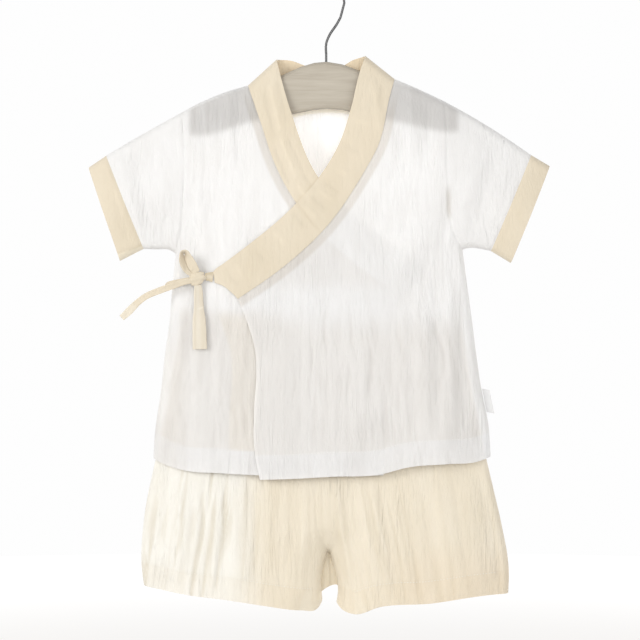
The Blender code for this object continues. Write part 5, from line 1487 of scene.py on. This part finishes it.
def add_stitches(name, finish, lines):
    """One mesh of stitches along lines of points on the cloth; each line has its outward side."""
    points, faces = [], []
    rings = len(STITCH_PLACES)
    for line, outward in lines:
        for start in np.arange(1.0, length_of(line) - STITCH_RUN, STITCH_RUN):
            spots = along(line, start + STITCH_LENGTH * np.array(STITCH_PLACES))
            across = unit_rows(np.cross(spots[-1:] - spots[:1], outward))[0]
            first = len(points)
            for spot, lift in zip(spots, STITCH_LIFTS):
                for angle in 2.0 * np.pi * np.arange(THREAD_SIDES) / THREAD_SIDES:
                    ring = THREAD_RADIUS * (np.cos(angle) * across + np.sin(angle) * np.array(outward))
                    points.append(spot + lift * np.array(outward) + ring)
            faces += [tuple(face) for face in quads(rings, THREAD_SIDES, first, False, True)]
            faces.append(tuple(first + s for s in range(THREAD_SIDES))[::-1])
            faces.append(tuple(first + (rings - 1) * THREAD_SIDES + s for s in range(THREAD_SIDES)))
    add_object(name, points, faces, finish)


def on_face(line, face, outward):
    """A plane line laid on a cloth face, with its outward side."""
    line = along(line, np.arange(0.0, length_of(line), 1.0))
    return np.stack([line[:, 0], face(line), line[:, 1]], axis=1), outward


make_back()
make_front(
    "front_right_cloth", "inner", inner_face, right_shoulder, right_armhole, right_side, inner_seam,
    inner_free, inner_hem, 1.0,
)
make_front(
    "front_left_cloth", "outer", outer_face, left_shoulder, left_armhole, left_side, outer_seam,
    outer_free, outer_hem[::-1], -1.0,
)
RIGHT_CUFF_EDGE = smooth_line((right_cuff_top[-1], right_cuff_under[-1]))
LEFT_CUFF_EDGE = smooth_line((left_cuff_top[-1], left_cuff_under[-1]))
SLEEVE_ROWS, CUFF_ROWS = 44, 20
RIGHT_SLEEVE = right_armhole, RIGHT_CUFF_SEAM, right_sleeve_top, right_sleeve_under, SLEEVE_ROWS
LEFT_SLEEVE = left_armhole, LEFT_CUFF_SEAM, left_sleeve_top, left_sleeve_under, SLEEVE_ROWS
RIGHT_CUFF = RIGHT_CUFF_SEAM, RIGHT_CUFF_EDGE, right_cuff_top, right_cuff_under, CUFF_ROWS
LEFT_CUFF = LEFT_CUFF_SEAM, LEFT_CUFF_EDGE, left_cuff_top, left_cuff_under, CUFF_ROWS
make_tube("sleeve_right_cloth", *RIGHT_SLEEVE, inner_face, white_gauze)
make_tube("sleeve_left_cloth", *LEFT_SLEEVE, outer_face, white_gauze)
make_tube("cuff_right_cloth", *RIGHT_CUFF, inner_face, cream_trim, drop=RIGHT_CUFF_DROP, puff=CUFF_PUFF)
make_tube("cuff_left_cloth", *LEFT_CUFF, outer_face, cream_trim, puff=CUFF_PUFF)
make_neckband()
make_shorts_panel("shorts_front_right_cloth", shorts_front, right_out, right_in, right_leg, 1.0, -1.0)
make_shorts_panel("shorts_back_right_cloth", shorts_back, right_out, right_back_in, right_back_leg, 1.0, 1.0)
make_shorts_panel("shorts_front_left_cloth", shorts_front, left_out, left_in, left_leg, -1.0, -1.0)
make_shorts_panel("shorts_back_left_cloth", shorts_back, left_out, left_back_in, left_back_leg, -1.0, 1.0)
make_waistband()
add_strip("tie_front_cloth", TIE_FRONT, 101)
add_strip("tie_side_cloth", TIE_SIDE, 102)
add_strip("tie_loop_cloth", TIE_LOOP, 103)
add_strip("tie_tail_side_cloth", TIE_TAIL_SIDE, 104)
add_strip("tie_tail_down_cloth", TIE_TAIL_DOWN, 105)
make_knot()
make_label()

add_stitches("hem_stitches", white_thread, [
    on_face(outer_stitch[6:-6], outer_face, FRONT_SIDE),
    on_face(inner_stitch[6:-60], inner_face, FRONT_SIDE),
    on_face(back_stitch[6:-6], back_face, BACK_SIDE),
])
add_stitches("leg_stitches", cream_thread, [
    on_face(line[4:], face, outward)
    for line in (right_leg_stitch, left_leg_stitch)
    for face, outward in ((shorts_front, FRONT_SIDE), (shorts_back, BACK_SIDE))
])

# Each cloth piece: the node it replaces, its slot, the cut of what shows of it, all round on a tube, as
# width, length and flat area, how it is held and what it rests on
PIECES = {
    "back_cloth": ("top_back", "white_gauze", 345, 400, 113000, "hung", "hanger"),
    "front_right_cloth": ("top_front_right", "white_gauze", 265, 398, 67000, "hung", "hanger"),
    "front_left_cloth": ("top_front_left", "white_gauze", 262, 408, 65500, "hung", "hanger"),
    "sleeve_right_cloth": ("sleeve_right", "white_gauze", 285, 85, 15800, "hung", "top_back"),
    "sleeve_left_cloth": ("sleeve_left", "white_gauze", 300, 95, 18000, "hung", "top_back"),
    "cuff_right_cloth": ("cuff_right", "cream_trim", 205, 27, 5400, "hung", "sleeve_right"),
    "cuff_left_cloth": ("cuff_left", "cream_trim", 205, 27, 5400, "hung", "sleeve_left"),
    "neckband_cloth": ("neckband", "cream_trim", 700, 37, 25900, "hung", "top_back", "top_front_left"),
    "shorts_front_right_cloth": (
        "shorts_front_right", "cream_gauze", 205, 290, 46500, "hung", "shorts_waistband",
    ),
    "shorts_back_right_cloth": (
        "shorts_back_right", "cream_gauze", 205, 290, 46500, "hung", "shorts_waistband",
    ),
    "shorts_front_left_cloth": (
        "shorts_front_left", "cream_gauze", 205, 290, 47500, "hung", "shorts_waistband",
    ),
    "shorts_back_left_cloth": (
        "shorts_back_left", "cream_gauze", 205, 290, 47500, "hung", "shorts_waistband",
    ),
    "waistband_cloth": ("shorts_waistband", "cream_gauze", 610, 24, 14600, "gathered", "top_back"),
    "tie_front_cloth": ("tie_front", "cream_trim", 10, 10, 82, "hung", "neckband"),
    "tie_side_cloth": ("tie_side", "cream_trim", 31, 10, 248, "hung", "top_front_right"),
    "tie_loop_cloth": ("tie_loop", "cream_trim", 56, 10, 490, "folded", "tie_knot"),
    "tie_tail_side_cloth": ("tie_tail_side", "cream_trim", 87, 10, 615, "hung", "tie_knot"),
    "tie_tail_down_cloth": ("tie_tail_down", "cream_trim", 64, 12.5, 800, "hung", "tie_knot"),
    "knot_cloth": ("tie_knot", "cream_trim", 32, 10, 270, "folded", "tie_front"),
    "label_cloth": ("side_label", "label_tape", 24, 15, 360, "folded", "top_front_left"),
}
for name, (replaced, slot, *_) in PIECES.items():
    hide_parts(replaced)

# Camera: straight on, 2.5 m away, with 640 mm of the garment's plane in the picture
CAMERA_AWAY = 2500.0
PICTURE_WIDTH = 640.0
PICTURE_MIDDLE = (-6.0, -334.0)
camera_data = bpy.data.cameras.new("camera")
camera_data.sensor_width = 36.0
camera_data.lens = camera_data.sensor_width * CAMERA_AWAY / PICTURE_WIDTH
camera_data.clip_end = 30.0
camera = bpy.data.objects.new("camera", camera_data)
camera.location = (PICTURE_MIDDLE[0] * MM, -CAMERA_AWAY * MM, PICTURE_MIDDLE[1] * MM)
camera.rotation_euler = (np.radians(90.0), 0.0, 0.0)
bpy.context.scene.collection.objects.link(camera)
bpy.context.scene.camera = camera

# Stage: a pale floor well below the hanging set
FLOOR_Z = -0.80
FLOOR_RADIUS = 2.5
FADE_START = 0.9
bpy.ops.mesh.primitive_circle_add(
    vertices=96, radius=FLOOR_RADIUS, fill_type="NGON", location=(0.0, 0.0, FLOOR_Z)
)
floor = bpy.context.object
floor.name = "floor"
floor_finish, floor_tree, floor_shader = new_material("pale_floor", (0.10, 0.10, 0.10), 0.9)
floor_shader.inputs["Specular IOR Level"].default_value = 0.0
floor_shader.inputs["Emission Strength"].default_value = 1.0
reach = node(floor_tree, "VectorMath", operation="LENGTH")
floor_tree.links.new(node(floor_tree, "TexCoord").outputs["Object"], reach.inputs[0])
fade = node(
    floor_tree, "MapRange", interpolation_type="SMOOTHSTEP", From_Min=FADE_START, From_Max=FLOOR_RADIUS,
)
floor_tree.links.new(reach.outputs["Value"], fade.inputs["Value"])
glow = ramp(floor_tree, fade.outputs["Result"], 0.0, 1.0, (0.80, 0.787, 0.772), (1.0, 1.0, 1.0))
floor_tree.links.new(glow, floor_shader.inputs["Emission Color"])
floor.data.materials.append(floor_finish)


AIM = (0.0, 0.0, -0.33)


def add_light(name, place, size, power):
    """Square soft light that points at the garment, in metres and watts."""
    data = bpy.data.lights.new(name, "AREA")
    data.shape = "SQUARE"
    data.size = size
    data.energy = power
    light = bpy.data.objects.new(name, data)
    light.location = place
    toward = np.array(AIM) - np.array(place)
    yaw = np.arctan2(toward[1], toward[0])
    pitch = np.arctan2(toward[2], np.hypot(toward[0], toward[1]))
    light.rotation_euler = (pitch + np.pi / 2.0, 0.0, yaw - np.pi / 2.0)
    bpy.context.scene.collection.objects.link(light)


add_light("key", (-1.7, -1.5, 0.35), 1.1, 25.6)
add_light("front", (0.35, -2.7, 0.1), 0.9, 15.8)
add_light("fill", (1.6, -1.9, -0.1), 1.4, 7.0)
add_light("rear_left", (-1.5, 1.7, 0.3), 1.3, 17.0)
add_light("rear_right", (1.6, 1.6, 0.2), 1.3, 17.0)

world = bpy.data.worlds.new("studio")
world.use_nodes = True
tree = world.node_tree
tree.nodes.clear()
WHITE_AIR = (1.0, 1.0, 1.0, 1.0)
lighting = node(tree, "Background", Color=WHITE_AIR, Strength=0.645)
seen_air = node(tree, "Background", Color=WHITE_AIR, Strength=0.99)
choice = node(tree, "MixShader")
tree.links.new(node(tree, "LightPath").outputs["Is Camera Ray"], choice.inputs[0])
tree.links.new(lighting.outputs[0], choice.inputs[1])
tree.links.new(seen_air.outputs[0], choice.inputs[2])
tree.links.new(choice.outputs[0], node(tree, "OutputWorld").inputs["Surface"])
bpy.context.scene.world = world
bpy.context.scene.view_settings.view_transform = "Standard"
